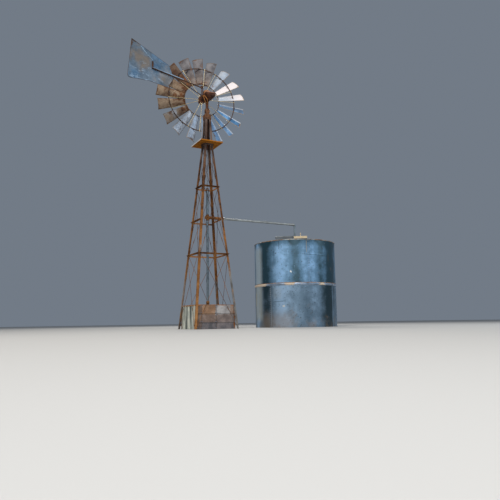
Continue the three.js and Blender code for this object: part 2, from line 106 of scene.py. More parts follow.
def setStudio():
    world = bpy.data.worlds.new("studio")
    world.use_nodes = True
    background = world.node_tree.nodes["Background"]
    background.inputs["Color"].default_value = studio["skyColour"]
    background.inputs["Strength"].default_value = studio["skyStrength"]
    scene.world = world
    for name in ("key", "fill", "rim", "front"):
        addSoftbox(name + "Light", studio[name])
    half = studio["floorHalf"]
    mesh = bpy.data.meshes.new("floor")
    corners = [(-half, -half, 0), (half, -half, 0), (half, half, 0), (-half, half, 0)]
    mesh.from_pydata(corners, [], [(0, 1, 2, 3)])
    floor = bpy.data.objects.new("floor", mesh)
    scene.collection.objects.link(floor)
    paper = bpy.data.materials.new("floorPaper")
    paper.use_nodes = True
    shader = paper.node_tree.nodes["Principled BSDF"]
    shader.inputs["Base Color"].default_value = studio["floorColour"]
    shader.inputs["Roughness"].default_value = 0.9
    mesh.materials.append(paper)
    scene.view_settings.view_transform = "Standard"


setCamera()
setStudio()
print("Camera, floor and lights set")


# Node helpers. A new node goes into the tree that is open, and its value adds and multiplies like a number
work = {"tree": None, "material": None}
socketKinds = {float: "Float", int: "Int", tuple: "Color"}


class Value:
    def __init__(self, socket):
        self.socket = socket

    def __getitem__(self, output):
        return Value(self.socket.node.outputs[output])

    def __add__(self, other):
        return calc("ADD", self, other)

    def __radd__(self, other):
        return calc("ADD", other, self)

    def __sub__(self, other):
        return calc("SUBTRACT", self, other)

    def __rsub__(self, other):
        return calc("SUBTRACT", other, self)

    def __mul__(self, other):
        return calc("MULTIPLY", self, other)

    def __truediv__(self, other):
        return calc("DIVIDE", self, other)

    def clamped(self):
        self.socket.node.use_clamp = True
        return self


def feed(socket, value):
    if isinstance(value, Value):
        work["tree"].links.new(value.socket, socket)
    else:
        socket.default_value = value


def place(kind, inputs=None, **settings):
    node = work["tree"].nodes.new(kind)
    for name, value in settings.items():
        setattr(node, name, value)
    for name, value in (inputs or {}).items():
        feed(node.inputs[name], value)
    return Value(node.outputs[0])


def calc(operation, first, second=0.0):
    return place("ShaderNodeMath", {0: first, 1: second}, operation=operation)


def largest(first, second):
    return calc("MAXIMUM", first, second)


def remap(value, low, high, toLow=0.0, toHigh=1.0):
    given = {0: value, 1: low, 2: high, 3: toLow, 4: toHigh}
    return place("ShaderNodeMapRange", given, interpolation_type="SMOOTHSTEP")


def mix(factor, first, second):
    return place("ShaderNodeMix", {0: factor, 6: first, 7: second}, data_type="RGBA", clamp_factor=True)[2]


def cloud(vector, scale, detail=4.0, rough=0.55, bend=0.0):
    given = {"Vector": vector, "Scale": scale, "Detail": detail, "Roughness": rough, "Distortion": bend}
    return place("ShaderNodeTexNoise", given)


def scaled(vector, factors, shift=(0, 0, 0)):
    return place("ShaderNodeMapping", {"Vector": vector, "Scale": factors, "Location": shift})


def ramp(factor, *stops):
    shade = place("ShaderNodeValToRGB", {"Fac": factor})
    elements = shade.socket.node.color_ramp.elements
    while len(elements) < len(stops):
        elements.new(0.5)
    for element, (position, colour) in zip(elements, stops):
        element.position = position
        element.color = (*colour, 1)
    return shade["Color"]


def carried(name):
    return place("ShaderNodeAttribute", attribute_name=name)["Fac"]


def split(vector):
    return place("ShaderNodeSeparateXYZ", {"Vector": vector})


# Opens a new node group. A socket is given by its default value, or by its kind where it has none
def openGroup(name, kind, inputs, outputs):
    tree = bpy.data.node_groups.new(name, kind)
    for way, sockets in (("INPUT", inputs), ("OUTPUT", outputs)):
        for label, value in sockets.items():
            bare = isinstance(value, str)
            socketType = "NodeSocket" + (value if bare else socketKinds[type(value)])
            socket = tree.interface.new_socket(label, in_out=way, socket_type=socketType)
            if not bare:
                socket.default_value = value
    work["tree"] = tree
    given = Value(tree.nodes.new("NodeGroupInput").outputs[0])
    return tree, given, tree.nodes.new("NodeGroupOutput").inputs


# Galvanized steel: crystal flakes, cloudy tone and upright water streaks
def buildZinc():
    inputs = {
        "Vector": "Vector", "Light": (0.5, 0.55, 0.6, 1), "Dark": (0.2, 0.24, 0.28, 1),
        "Flake Scale": 30.0, "Cloud Scale": 1.6, "Streaks": 0.4,
    }
    outputs = {"Color": "Color", "Tone": "Float", "Roughness": "Float", "Height": "Float"}
    group, given, out = openGroup("zincMottle", "ShaderNodeTree", inputs, outputs)
    vector = given["Vector"]
    flake = place("ShaderNodeTexVoronoi", {"Vector": vector, "Scale": given["Flake Scale"]})
    flakeTone = place("ShaderNodeSeparateColor", {"Color": flake["Color"]})
    clouds = cloud(vector, given["Cloud Scale"], 7.0, 0.62)
    streak = cloud(scaled(vector, (7.0, 7.0, 0.45)), 1.5, 4.0, 0.6)
    upright = (streak - 0.5) * given["Streaks"]
    tone = (remap(clouds, 0.30, 0.70) + upright + (flakeTone - 0.5) * 0.16).clamped()
    feed(out["Color"], mix(tone, given["Dark"], given["Light"]))
    feed(out["Tone"], tone)
    feed(out["Roughness"], remap(clouds, 0.3, 0.75, 0.52, 0.34))
    feed(out["Height"], flakeTone * 0.4)
    return group


# Rust that blooms in ragged patches. Lean pushes it towards or away from a place
def buildRust():
    inputs = {
        "Vector": "Vector", "Scale": 4.0, "Amount": 0.4, "Lean": 0.0,
        "Fresh": (0.46, 0.19, 0.06, 1), "Old": (0.10, 0.04, 0.022, 1),
    }
    outputs = {"Mask": "Float", "Color": "Color", "Height": "Float"}
    group, given, out = openGroup("rustBloom", "ShaderNodeTree", inputs, outputs)
    vector, scale = given["Vector"], given["Scale"]
    wanted = cloud(vector, scale, 9.0, 0.66, 0.25) + given["Lean"] + given["Amount"]
    grit = cloud(vector, scale * 9.0, 5.0, 0.7)
    blots = cloud(vector, scale * 1.7, 6.0, 0.6)
    feed(out["Mask"], remap(wanted, 0.94, 1.10))
    feed(out["Color"], mix(remap(grit * 0.45 + blots * 0.6, 0.38, 0.68), given["Old"], given["Fresh"]))
    feed(out["Height"], grit)
    return group


# Dust and lichen that settle on what faces up
def buildDust():
    inputs = {"Vector": "Vector", "Amount": 0.5}
    group, given, out = openGroup("settledDust", "ShaderNodeTree", inputs, {"Mask": "Float"})
    up = split(place("ShaderNodeNewGeometry")["Normal"])["Z"]
    grains = cloud(given["Vector"], 11.0, 6.0, 0.6)
    settled = remap(up, 0.35, 0.95) * remap(grains, 0.35, 0.65)
    feed(out["Mask"], (settled * given["Amount"]).clamped())
    return group


zincGroup = buildZinc()
rustGroup = buildRust()
dustGroup = buildDust()


def useGroup(group, **inputs):
    given = {name.replace("_", " "): value for name, value in inputs.items()}
    return place("ShaderNodeGroup", given, node_tree=group)


def zincOn(coords, light, dark, flakes, clouds, streaks):
    shades = {"Light": light, "Dark": dark, "Streaks": streaks}
    return useGroup(zincGroup, Vector=coords, Flake_Scale=flakes, Cloud_Scale=clouds, **shades)


# Rust over a colour. Gives the new colour, and the rust for its mask and height
def rusted(colour, coords, scale, amount, lean=0.0, **tones):
    rust = useGroup(rustGroup, Vector=coords, Scale=scale, Amount=amount, Lean=lean, **tones)
    return mix(rust["Mask"], colour, rust["Color"]), rust


def dustOn(coords, amount):
    return useGroup(dustGroup, Vector=coords, Amount=amount)["Mask"]


def startMaterial(name, roughness=0.6, metallic=0.0, gloss=0.5):
    material = bpy.data.materials.new(name)
    material.use_nodes = True
    work.update(tree=material.node_tree, material=material)
    shader = material.node_tree.nodes["Principled BSDF"]
    shader.inputs["Roughness"].default_value = roughness
    shader.inputs["Metallic"].default_value = metallic
    shader.inputs["Specular IOR Level"].default_value = gloss
    return place("ShaderNodeTexCoord")["Object"]


def heightOf(coords):
    return split(coords)["Z"]


def finishMaterial(colour, roughness=None, metallic=None, height=None, strength=0.4, depth=0.002):
    inputs = work["tree"].nodes["Principled BSDF"].inputs
    feed(inputs["Base Color"], colour)
    if roughness is not None:
        feed(inputs["Roughness"], roughness)
    if metallic is not None:
        feed(inputs["Metallic"], metallic)
    if height is not None:
        bump = place("ShaderNodeBump", {"Strength": strength, "Distance": depth, "Height": height})
        feed(inputs["Normal"], bump)
    return work["material"]


# Tower steel: orange rust with dark scale, and zinc that is left on the lower lengths
rustySteelLook = {
    "scale": (0.024, 0.011, 0.006),
    "brown": (0.088, 0.036, 0.014),
    "orange": (0.240, 0.100, 0.028),
    "pale": (0.42, 0.21, 0.080),
    "worn": (0.44, 0.38, 0.34, 1),
    "zincLight": (0.27, 0.29, 0.29, 1),
    "zincDark": (0.11, 0.12, 0.12, 1),
    "zincTop": 1.75,
    # Between these heights the steel turns darker towards the top, nearly brown-grey
    "sootFrom": (3.90, 4.92),
    "soot": (0.050, 0.032, 0.026, 1),
    "sootPale": (0.125, 0.105, 0.100, 1),
}


def rustySteel(name, zincLeft=0.5, warmth=0.0):
    look = rustySteelLook
    coords = startMaterial(name, gloss=0.22)
    broad = cloud(coords, 2.4, 6.0, 0.6, 0.3)
    fine = cloud(coords, 38.0, 5.0, 0.65)
    shade = broad * 0.68 + fine * 0.32
    height = heightOf(coords)
    given = split(coords)
    corner = given["X"] - given["Y"]
    shade = shade + remap(height, 0.2, 4.2, warmth + 0.045, warmth - 0.040)
    # Painted light: the left leg, and the front leg's lower length, are made lighter
    shade = shade + remap(corner, -0.15, -0.50, 0.0, 0.055)
    across = given["X"] + given["Y"]
    shade = shade + remap(across, -0.84, -1.06, 0.0, 0.05)
    stops = zip((0.30, 0.43, 0.53, 0.68), ("scale", "brown", "orange", "pale"))
    rust = ramp(shade, *((position, look[tone]) for position, tone in stops))
    zinc = zincOn(coords, look["zincLight"], look["zincDark"], 60.0, 6.0, 0.5)
    low = remap(height, look["zincTop"], 0.35)
    worn = cloud(scaled(coords, (1.0, 1.0, 0.35)), 5.0, 6.0, 0.6)
    left = worn + low * 0.16
    left = remap(left, 0.60, 0.66, 0.0, zincLeft)
    # The front leg's foot has lost it all
    front = remap(across, -0.72, -0.84)
    left = left * (1.0 - front)
    # The right leg's foot keeps its zinc, and the left leg is worn pale above the enclosure
    foot = remap(corner, 0.70, 0.80) * remap(height, 1.80, 1.20)
    pale = remap(corner, -0.82, -0.92) * remap(height, 1.50, 1.00)
    pale = pale * remap(height, 0.50, 0.60)
    patchy = remap(worn, 0.36, 0.50, 0.0, 0.85)
    left = largest(left, largest(foot, pale) * patchy)
    bare = mix(pale, zinc["Color"], look["worn"])
    colour = mix(left, rust, bare)
    soot = mix(remap(broad, 0.38, 0.62), look["soot"], look["sootPale"])
    high = remap(height, *look["sootFrom"], 0.0, 0.80)
    colour = mix(high, colour, soot)
    roughness = remap(left, 0.0, 1.0, 0.86, 0.48)
    metallic = remap(left, 0.0, 1.0, 0.12, 0.65)
    return finishMaterial(colour, roughness, metallic, fine, 0.5, 0.0015)


# Castings of the head: dark brown, oily where it drips
def darkCasting(name, fresh=(0.21, 0.075, 0.028, 1), old=(0.035, 0.014, 0.009, 1)):
    coords = startMaterial(name, 0.62, 0.25, 0.25)
    rust = useGroup(rustGroup, Vector=coords, Scale=7.0, Amount=1.0, Fresh=fresh, Old=old)
    dust = dustOn(coords, 0.55)
    colour = mix(dust, rust["Color"], (0.33, 0.20, 0.12, 1))
    oil = cloud(scaled(coords, (9.0, 9.0, 2.0)), 1.4, 4.0, 0.5)
    roughness = remap(oil, 0.35, 0.65, 0.78, 0.42)
    return finishMaterial(colour, roughness, None, rust["Height"], 0.6, 0.003)


# Blades: zinc with painted glint and painted sky reflection beside a painted highlight stripe, tan film and
# rust on the side that weathers
bladeLook = {
    "zincLight": (0.80, 0.86, 0.94, 1),
    "zincDark": (0.17, 0.21, 0.27, 1),
    "white": (0.84, 0.78, 0.78, 1),
    "skyLight": (0.25, 0.51, 0.86, 1),
    "skyDark": (0.09, 0.22, 0.40, 1),
    "filmLight": (0.38, 0.285, 0.20, 1),
    "filmDark": (0.15, 0.095, 0.062, 1),
    "ashLight": (0.20, 0.205, 0.23, 1),
    "ashDark": (0.075, 0.08, 0.095, 1),
    "paintedShade": (0.068, 0.038, 0.026, 1),
    "rustFresh": (0.21, 0.085, 0.032, 1),
    "rustOld": (0.045, 0.02, 0.013, 1),
    "edgeDark": (0.075, 0.04, 0.022, 1),
    "edgeGold": (0.46, 0.29, 0.09, 1),
}


def agedBlade(name):
    look = bladeLook
    coords = startMaterial(name, gloss=0.25)
    film, toneAndGlint = carried("film"), carried("toneAndGlint")
    span, across = carried("span"), carried("across")
    zinc = zincOn(coords, (1, 1, 1, 1), (0, 0, 0, 1), 40.0, 3.0, 0.0)
    mottle = (zinc["Tone"] - 0.5) * 0.42
    bright = mix((toneAndGlint + mottle).clamped(), look["zincDark"], look["zincLight"])
    patches = cloud(coords, 4.6, 3.0, 0.5)
    # Painted sky reflection: blue over the face, and a painted highlight stripe of light zinc along one edge
    sky, lit = carried("sky"), remap(across, 0.05, 0.30)
    blue = mix(remap(patches, 0.30, 0.70), look["skyDark"], look["skyLight"])
    blue = mix(lit, blue, look["zincLight"])
    bright = mix(sky, bright, blue)
    # Painted glint: the brightest blades turn near-white, most towards the tip
    white = remap(toneAndGlint + span * 0.13, 0.90, 1.02)
    bright = mix(white, bright, look["white"])
    tan = mix(remap(patches, 0.26, 0.66), look["filmDark"], look["filmLight"])
    ash = mix(remap(patches, 0.26, 0.66), look["ashDark"], look["ashLight"])
    ashen = carried("ash")
    tan = mix(ashen * remap(span, 0.05, 0.70, 0.62, 1.0), tan, ash)
    blotch = cloud(coords, 3.5, 5.0, 0.6) - 0.5
    filmed = remap(film + blotch * 1.1, 0.34, 0.66)
    colour = mix(filmed, bright, tan)
    # Painted shade: the film of the blades listed darkens to dark brown
    colour = mix(carried("paintedShade") * remap(patches, 0.62, 0.40, 0.8, 1.0), colour, look["paintedShade"])
    edge = calc("ABSOLUTE", across)
    ends = calc("ABSOLUTE", span * 2.0 - 1.0)
    inner = remap(span, 0.80, 0.0, 0.22, 1.0) * (film * 0.27)
    inner = inner * remap(ashen, 0.0, 1.0, 1.0, 0.35)
    rim = remap(largest(edge, ends), 0.80, 1.0) * 0.10
    tones = {"Fresh": look["rustFresh"], "Old": look["rustOld"]}
    colour, rust = rusted(colour, coords, 5.6, 0.35, inner + rim, **tones)
    tone = mix(film, look["edgeGold"], look["edgeDark"])
    hem = largest(remap(edge, 0.93, 0.975), remap(ends, 0.965, 0.99))
    colour = mix(hem * 0.85, colour, tone)
    dull = largest(rust["Mask"], filmed * 0.8)
    dull = largest(dull, white * 0.75)
    roughness = remap(dull, 0.0, 1.0, 0.46, 0.85)
    metallic = remap(dull, 0.0, 1.0, 0.45, 0.08)
    return finishMaterial(colour, roughness, metallic, zinc["Tone"], 0.12, 0.002)


# Tail vane: blue-grey zinc with tan patches and dark rust along its edge
vaneLook = {
    "zincLight": (0.175, 0.24, 0.315, 1),
    "zincDark": (0.070, 0.105, 0.145, 1),
    "tanLight": (0.26, 0.215, 0.17, 1),
    "tanDark": (0.135, 0.11, 0.09, 1),
    "greyLight": (0.31, 0.31, 0.32, 1),
    "greyDark": (0.15, 0.15, 0.155, 1),
    "blueLight": (0.115, 0.235, 0.39, 1),
    "blueDark": (0.045, 0.10, 0.17, 1),
    "scuff": (0.40, 0.53, 0.68, 1),
    "rustFresh": (0.075, 0.045, 0.030, 1),
    "rustOld": (0.022, 0.016, 0.013, 1),
}


def vaneSheet(name):
    look = vaneLook
    coords = startMaterial(name)
    zinc = zincOn(coords, look["zincLight"], look["zincDark"], 22.0, 3.4, 0.12)
    tan = mix(cloud(coords, 14.0), look["tanDark"], look["tanLight"])
    blots = cloud(coords, 2.6, 6.0, 0.6, 0.4)
    colour = zinc["Color"]
    for tint in ("blue", "grey"):
        patch = blots + carried(tint)
        shade = mix(zinc["Tone"], look[tint + "Dark"], look[tint + "Light"])
        colour = mix(remap(patch, 0.62, 0.86, 0.0, 0.9), colour, shade)
    stain = blots + carried("tan")
    colour = mix(remap(stain, 0.56, 0.80, 0.0, 0.85), colour, tan)
    scuff = cloud(scaled(coords, (1.0, 1.0, 1.6), (4.0, 2.0, 1.0)), 6.5, 6.0, 0.65, 0.5)
    below = remap(heightOf(coords), 6.62, 6.36, 0.0, 0.46)
    colour = mix(remap(scuff, 0.56, 0.64) * below, colour, look["scuff"])
    tones = {"Fresh": look["rustFresh"], "Old": look["rustOld"]}
    colour, rust = rusted(colour, coords, 7.0, 0.27, carried("edge"), **tones)
    roughness = remap(rust["Mask"], 0.0, 1.0, 0.50, 0.85)
    metallic = remap(rust["Mask"], 0.0, 1.0, 0.42, 0.1)
    return finishMaterial(colour, roughness, metallic, zinc["Tone"], 0.25, 0.003)


# Tank sheets: slate-blue zinc with upright bands of painted reflection, upright streaks, dark specks, and
# brown dust near the floor
tankLook = {
    "bright": (0.30, 0.52, 0.79, 1),
    "middle": (0.100, 0.205, 0.315, 1),
    "dark": (0.018, 0.056, 0.080, 1),
    "speck": (0.03, 0.035, 0.04, 1),
    "dust": (0.26, 0.19, 0.13, 1),
    "rust": (0.36, 0.20, 0.07, 1),
    "grey": (0.30, 0.33, 0.35, 1),
    "centre": (2.82, 0.24, 0.0),
    "middleHeight": 1.15,
    # Upright bands of painted reflection, lighter and darker, on each course: angle round the tank, half
    # width and strength
    "upper": (
        (172, 9, 0.80), (-168, 10, -0.56), (-142, 14, 0.40), (-121, 9, -0.45), (-104, 14, 0.20),
        (-97, 4, 0.06), (-85, 8, -0.36), (-64, 15, -0.62), (-20, 20, 0.30), (40, 30, -0.40), (110, 26, 0.35),
    ),
    "lower": (
        (172, 8, 0.52), (-167, 10, -0.42), (-142, 14, 0.48), (-118, 8, 0.06), (-97, 8, 0.10),
        (-70, 16, -0.62), (-60.7, 2, 0.48), (-20, 24, 0.25), (50, 28, -0.35), (120, 22, 0.30),
    ),
    # Marks: angle, half width, lowest and highest point, colour and strength
    "marks": (
        (-143.8, 0.45, 2.10, 2.34, (0.03, 0.04, 0.05, 1), 0.75),
        (-106.0, 0.55, 1.97, 2.33, (0.44, 0.32, 0.14, 1), 0.55),
        (-148.0, 8.5, 0.70, 1.11, (0.40, 0.46, 0.50, 1), 0.25),
        (166.0, 3.0, 0.55, 0.98, (0.55, 0.43, 0.16, 1), 0.85),
        (-152.0, 34.0, -0.6, 0.52, (0.30, 0.24, 0.19, 1), 0.50),
        (-158.9, 0.6, 0.02, 1.11, (0.02, 0.03, 0.04, 1), 0.55),
        (-157.6, 0.6, 0.02, 1.11, (0.50, 0.56, 0.60, 1), 0.28),
        (-127.9, 1.5, 1.466, 1.500, (0.80, 0.78, 0.72, 1), 1.0),
        (-138.5, 2.0, 0.52, 0.60, (0.66, 0.65, 0.58, 1), 0.95),
        (174.0, 15.0, 0.10, 2.30, (0.46, 0.50, 0.47, 1), 0.70),
    ),
    # Creases across the sheet, each painted as a line of shade under it and a line of highlight over it:
    # middle angle, half width, height and rise to the right
    "creases": ((-95.0, 20.0, 1.940, -0.014), (-144.5, 11.0, 0.700, 0.003), (20.0, 16.0, 0.62, 0.02)),
}


def tankZinc(name):
    look = tankLook
    coords = startMaterial(name)
    given = split(coords)
    east = given["X"] - look["centre"][0]
    north = given["Y"] - look["centre"][1]
    height = given["Z"]
    angle = calc("ARCTAN2", north, east) * (180 / math.pi)
    waver = cloud(scaled(coords, (1.0, 1.0, 0.7)), 1.5, 3.0, 0.5)
    swayed = angle + (waver - 0.5) * 9.0
    base = 0.50 + (waver - 0.5) * 0.24
    # Each course's tone, with its bands of painted reflection
    tones = []
    for course in ("upper", "lower"):
        tone = base
        for middle, half, strength in look[course]:
            away = calc("PINGPONG", swayed - middle, 180.0)
            tone = tone + remap(away, half * 1.35, 0.0, 0.0, strength)
        tones.append(tone)
    isUpper = calc("GREATER_THAN", height, look["middleHeight"])
    # Painted shadow: the upper course darkens just under the rim
    tones[0] = tones[0] + remap(height, 2.12, 2.34, 0.0, -0.45)
    tone = place("ShaderNodeMix", {0: isUpper, 2: tones[1], 3: tones[0]}, data_type="FLOAT")
    zinc = zincOn(coords, (1, 1, 1, 1), (0, 0, 0, 1), 34.0, 4.5, 0.55)
    tone = (tone + (zinc["Tone"] - 0.5) * 0.26).clamped()
    colour = mix(remap(tone, 0.0, 0.52), look["dark"], look["middle"])
    colour = mix(remap(tone, 0.48, 1.0), colour, look["bright"])
    grey = mix(tone, (0, 0, 0, 1), look["grey"])
    colour = mix(remap(isUpper, 1.0, 0.0, 0.0, 0.38), colour, grey)
    specks = cloud(coords, 21.0, 3.0, 0.5)
    colour = mix(remap(specks, 0.625, 0.68, 0.0, 0.62), colour, look["speck"])
    chalk = cloud(scaled(coords, (1.0, 1.0, 0.8), (3.0, 1.0, 7.0)), 12.0, 5.0, 0.6)
    colour = mix(remap(chalk, 0.66, 0.74, 0.0, 0.35), colour, look["bright"])
    ragged = (chalk - 0.5) * 0.16
    edgeHeight = height + ragged
    edgeAngle = angle + ragged * 6.0
    for middle, half, bottom, top, tint, strength in look["marks"]:
        away = calc("PINGPONG", edgeAngle - middle, 180.0)
        fade = min(0.04 + 0.012 * half, 0.3 * (top - bottom))
        inside = remap(away, half, half * 0.4) * remap(edgeHeight, bottom, bottom + fade)
        inside = inside * remap(edgeHeight, top + 0.02, top - fade, 0.0, strength)
        colour = mix(inside, colour, tint)
    levelled = height + ragged * 0.25
    # Painted shade just under each crease and a painted highlight just over it
    for middle, half, level, lean in look["creases"]:
        along = angle - middle
        line = levelled - (along * (lean / half) + level)
        inside = remap(calc("ABSOLUTE", along), half, half * 0.6)
        under = remap(calc("ABSOLUTE", line + 0.010), 0.016, 0.0, 0.0, 0.60)
        over = remap(calc("ABSOLUTE", line - 0.014), 0.016, 0.0, 0.0, 0.22)
        colour = mix(inside * under, colour, look["dark"])
        colour = mix(inside * over, colour, look["bright"])
    low = remap(height, 0.75, 0.0, 0.0, 0.20) + cloud(coords, 3.0, 6.0, 0.6)
    colour = mix(remap(low, 0.64, 0.88, 0.0, 0.5), colour, look["dust"])
    runs = cloud(scaled(coords, (22.0, 22.0, 0.7), (1.0, 5.0, 0.0)), 1.0, 3.0, 0.5)
    below = largest(remap(height, 2.0, 2.33), remap(height, 0.85, 1.12, 0.0, 0.7))
    stain = remap(runs, 0.66, 0.74) * (below * 0.45)
    colour = mix(stain, colour, look["rust"])
    roughness = remap(tone, 0.0, 1.0, 0.36, 0.48)
    return finishMaterial(colour, roughness, 0.45, zinc["Tone"], 0.10, 0.002)


# Rim, band and roof sheet: zinc with more rust where water stands
def edgeZinc(
    name, amount=0.42, light=(0.40, 0.48, 0.58, 1), dark=(0.13, 0.16, 0.20, 1), fresh=(0.42, 0.20, 0.07, 1),
    cream=(0.46, 0.38, 0.29, 1),
):
    coords = startMaterial(name)
    zinc = zincOn(coords, light, dark, 30.0, 3.0, 0.3)
    dust = dustOn(coords, 0.5)
    blots = cloud(scaled(coords, (3.0, 3.0, 8.0), (0.0, 4.0, 2.0)), 1.6, 5.0, 0.6)
    tan = remap(blots + carried("tan"), 0.72, 0.95)
    colour = mix(tan, zinc["Color"], cream)
    tones = {"Fresh": fresh, "Old": (0.10, 0.05, 0.03, 1)}
    colour, rust = rusted(colour, coords, 5.0, amount, carried("edge"), **tones)
    colour = mix(dust, colour, (0.36, 0.30, 0.23, 1))
    dull = largest(largest(rust["Mask"], tan), dust)
    roughness = remap(dull, 0.0, 1.0, 0.46, 0.85)
    metallic = remap(dull, 0.0, 1.0, 0.65, 0.1)
    return finishMaterial(colour, roughness, metallic, rust["Height"], 0.3, 0.002)


# Pipes: smooth grey zinc, dirty along the top
def pipeZinc(name, light=(0.50, 0.56, 0.64, 1), dark=(0.24, 0.27, 0.31, 1), rusty=0.24, dusty=0.25):
    coords = startMaterial(name)
    zinc = zincOn(coords, light, dark, 70.0, 5.0, 0.1)
    colour, rust = rusted(zinc["Color"], coords, 9.0, rusty)
    dust = dustOn(coords, dusty)
    colour = mix(dust, colour, (0.30, 0.25, 0.20, 1))
    roughness = remap(rust["Mask"], 0.0, 1.0, 0.42, 0.82)
    return finishMaterial(colour, roughness, 0.4, zinc["Tone"], 0.2, 0.001)


# Enclosure sheets: flat ones brown with rust film, the corrugated one whitish with dark streaks
def filmedSheet(name):
    coords = startMaterial(name)
    bare, slate, jointAndShadow = carried("bare"), carried("slate"), carried("jointAndShadow")
    zinc = zincOn(coords, (0.46, 0.44, 0.43, 1), (0.22, 0.20, 0.20, 1), 40.0, 6.0, 0.3)
    film = cloud(coords, 4.0, 7.0, 0.65, 0.3)
    stops = ((0.30, (0.17, 0.098, 0.056)), (0.50, (0.31, 0.182, 0.108)), (0.68, (0.42, 0.285, 0.195)))
    brown = ramp(film, *stops)
    cool = mix(remap(film, 0.34, 0.66), (0.085, 0.082, 0.090, 1), (0.20, 0.19, 0.205, 1))
    brown = mix(slate * remap(film, 0.72, 0.40, 0.75, 1.0), brown, cool)
    shown = remap(film + bare, 0.62, 0.86)
    colour = mix(shown, brown, zinc["Color"])
    streaks = cloud(scaled(coords, (9.0, 9.0, 1.2), (2.0, 0.0, 5.0)), 2.0, 5.0, 0.6)
    colour = mix(remap(streaks, 0.60, 0.74, 0.0, 0.35), colour, zinc["Color"])
    # Dark joints, and painted shadow over the first column of each flat side
    colour = mix(calc("POWER", jointAndShadow, 3.0) * 0.75, colour, (0.035, 0.024, 0.018, 1))
    colour = rusted(colour, coords, 9.0, 0.34, carried("edge") * 0.3)[0]
    roughness = remap(shown, 0.0, 1.0, 0.85, 0.5)
    return finishMaterial(colour, roughness, 0.25, film, 0.25, 0.002)


def whitenedZinc(name):
    coords = startMaterial(name, 0.6, 0.3)
    zinc = zincOn(coords, (0.76, 0.77, 0.66, 1), (0.48, 0.51, 0.45, 1), 40.0, 5.0, 0.4)
    streak = cloud(scaled(coords, (1.0, 9.0, 0.45), (0.0, 2.2, 0.0)), 1.0, 2.0, 0.5)
    colour = mix(remap(streak, 0.47, 0.58, 0.0, 0.92), zinc["Color"], (0.045, 0.06, 0.06, 1))
    colour = rusted(colour, coords, 8.0, 0.26, remap(heightOf(coords), 0.54, 0.60, 0.0, 0.4))[0]
    return finishMaterial(colour, None, None, streak, 0.2, 0.001)


# Timber: the grain runs along X, and the ends past endX have a tone of their own
def boardWood(name, light, dark, endTone, endX=9.0, dusty=0.25, grain=(2.0, 46.0, 46.0)):
    coords = startMaterial(name, 0.85, 0.0, 0.12)
    rings = cloud(scaled(coords, grain), 1.0, 6.0, 0.65, 0.6)
    stain = cloud(coords, 6.0, 5.0, 0.6)
    colour = mix(remap(rings, 0.32, 0.68), dark, light)
    colour = mix(remap(stain, 0.52, 0.72, 0.0, 0.5), colour, dark)
    across = split(coords)["X"]
    colour = mix(remap(across, -endX, -endX - 0.004), colour, endTone)
    dust = dustOn(coords, dusty)
    colour = mix(dust, colour, (0.27, 0.21, 0.16, 1))
    return finishMaterial(colour, None, None, rings, 0.5, 0.002)


finishes = {
    rustySteel: {
        "towerSteel": (0.75,), "latticeSteel": (0.35, 0.02), "rodRust": (0.20, -0.075),
        "lipRust": (0.0, 0.13), "branchRust": (0.0, 0.04),
    },
    darkCasting: {
        "capSteel": ((0.22, 0.095, 0.040, 1), (0.040, 0.023, 0.016, 1)),
        "casting": ((0.105, 0.036, 0.016, 1), (0.018, 0.008, 0.006, 1)),
        "rimIron": ((0.40, 0.22, 0.15, 1), (0.14, 0.06, 0.04, 1)),
        "hood": ((0.50, 0.24, 0.11, 1), (0.20, 0.085, 0.035, 1)),
        "strapGold": ((0.50, 0.22, 0.06, 1), (0.15, 0.055, 0.02, 1)),
        "ringIron": ((0.13, 0.065, 0.035, 1), (0.03, 0.018, 0.013, 1)),
        "boomSteel": ((0.12, 0.06, 0.035, 1), (0.025, 0.016, 0.012, 1)),
        "wellIron": ((0.30, 0.12, 0.04, 1), (0.07, 0.03, 0.018, 1)),
        "boltSteel": ((0.26, 0.12, 0.05, 1), (0.05, 0.03, 0.02, 1)),
    },
    pipeZinc: {
        "stubSteel": ((0.56, 0.46, 0.34, 1), (0.30, 0.22, 0.15, 1)),
        "spokeSteel": ((0.74, 0.62, 0.38, 1), (0.42, 0.32, 0.16, 1), 0.18),
        "pipeZinc": ((0.36, 0.39, 0.39, 1), (0.17, 0.18, 0.175, 1), 0.30, 0.55),
        "riserZinc": ((0.19, 0.24, 0.275, 1), (0.075, 0.10, 0.12, 1)),
        # Pale zinc for the painted highlights on the boom's top and the lap's fold
        "highlightZinc": ((0.34, 0.48, 0.62, 1), (0.14, 0.21, 0.29, 1), 0.22, 0.10),
        "slateZinc": ((0.17, 0.19, 0.205, 1), (0.060, 0.070, 0.080, 1), 0.26, 0.35),
        "pumpRodSteel": ((0.44, 0.43, 0.42, 1), (0.18, 0.16, 0.15, 1)),
        "rivetZinc": ((0.30, 0.38, 0.48, 1), (0.14, 0.18, 0.24, 1)),
    },
    edgeZinc: {
        "bandZinc": (
            0.29, (0.36, 0.46, 0.60, 1), (0.13, 0.18, 0.24, 1), (0.42, 0.20, 0.06, 1),
            (0.62, 0.51, 0.39, 1),
        ),
        "rimZinc": (0.40, (0.33, 0.37, 0.385, 1), (0.13, 0.15, 0.16, 1), (0.34, 0.20, 0.11, 1)),
        "roofZinc": (0.34,),
    },
    boardWood: {
        "platformBoards": (
            (0.43, 0.155, 0.010, 1), (0.18, 0.058, 0.004, 1), (0.46, 0.45, 0.44, 1), 0.309, 1.3,
        ),
        "coverPale": ((0.74, 0.63, 0.44, 1), (0.52, 0.40, 0.25, 1), (0.60, 0.50, 0.35, 1)),
        "coverBrown": ((0.17, 0.11, 0.07, 1), (0.08, 0.05, 0.03, 1), (0.14, 0.10, 0.07, 1)),
    },
    agedBlade: {"blade": ()},
    vaneSheet: {"vane": ()},
    tankZinc: {"tankZinc": ()},
    filmedSheet: {"flatSheet": ()},
    whitenedZinc: {"wavySheet": ()},
}
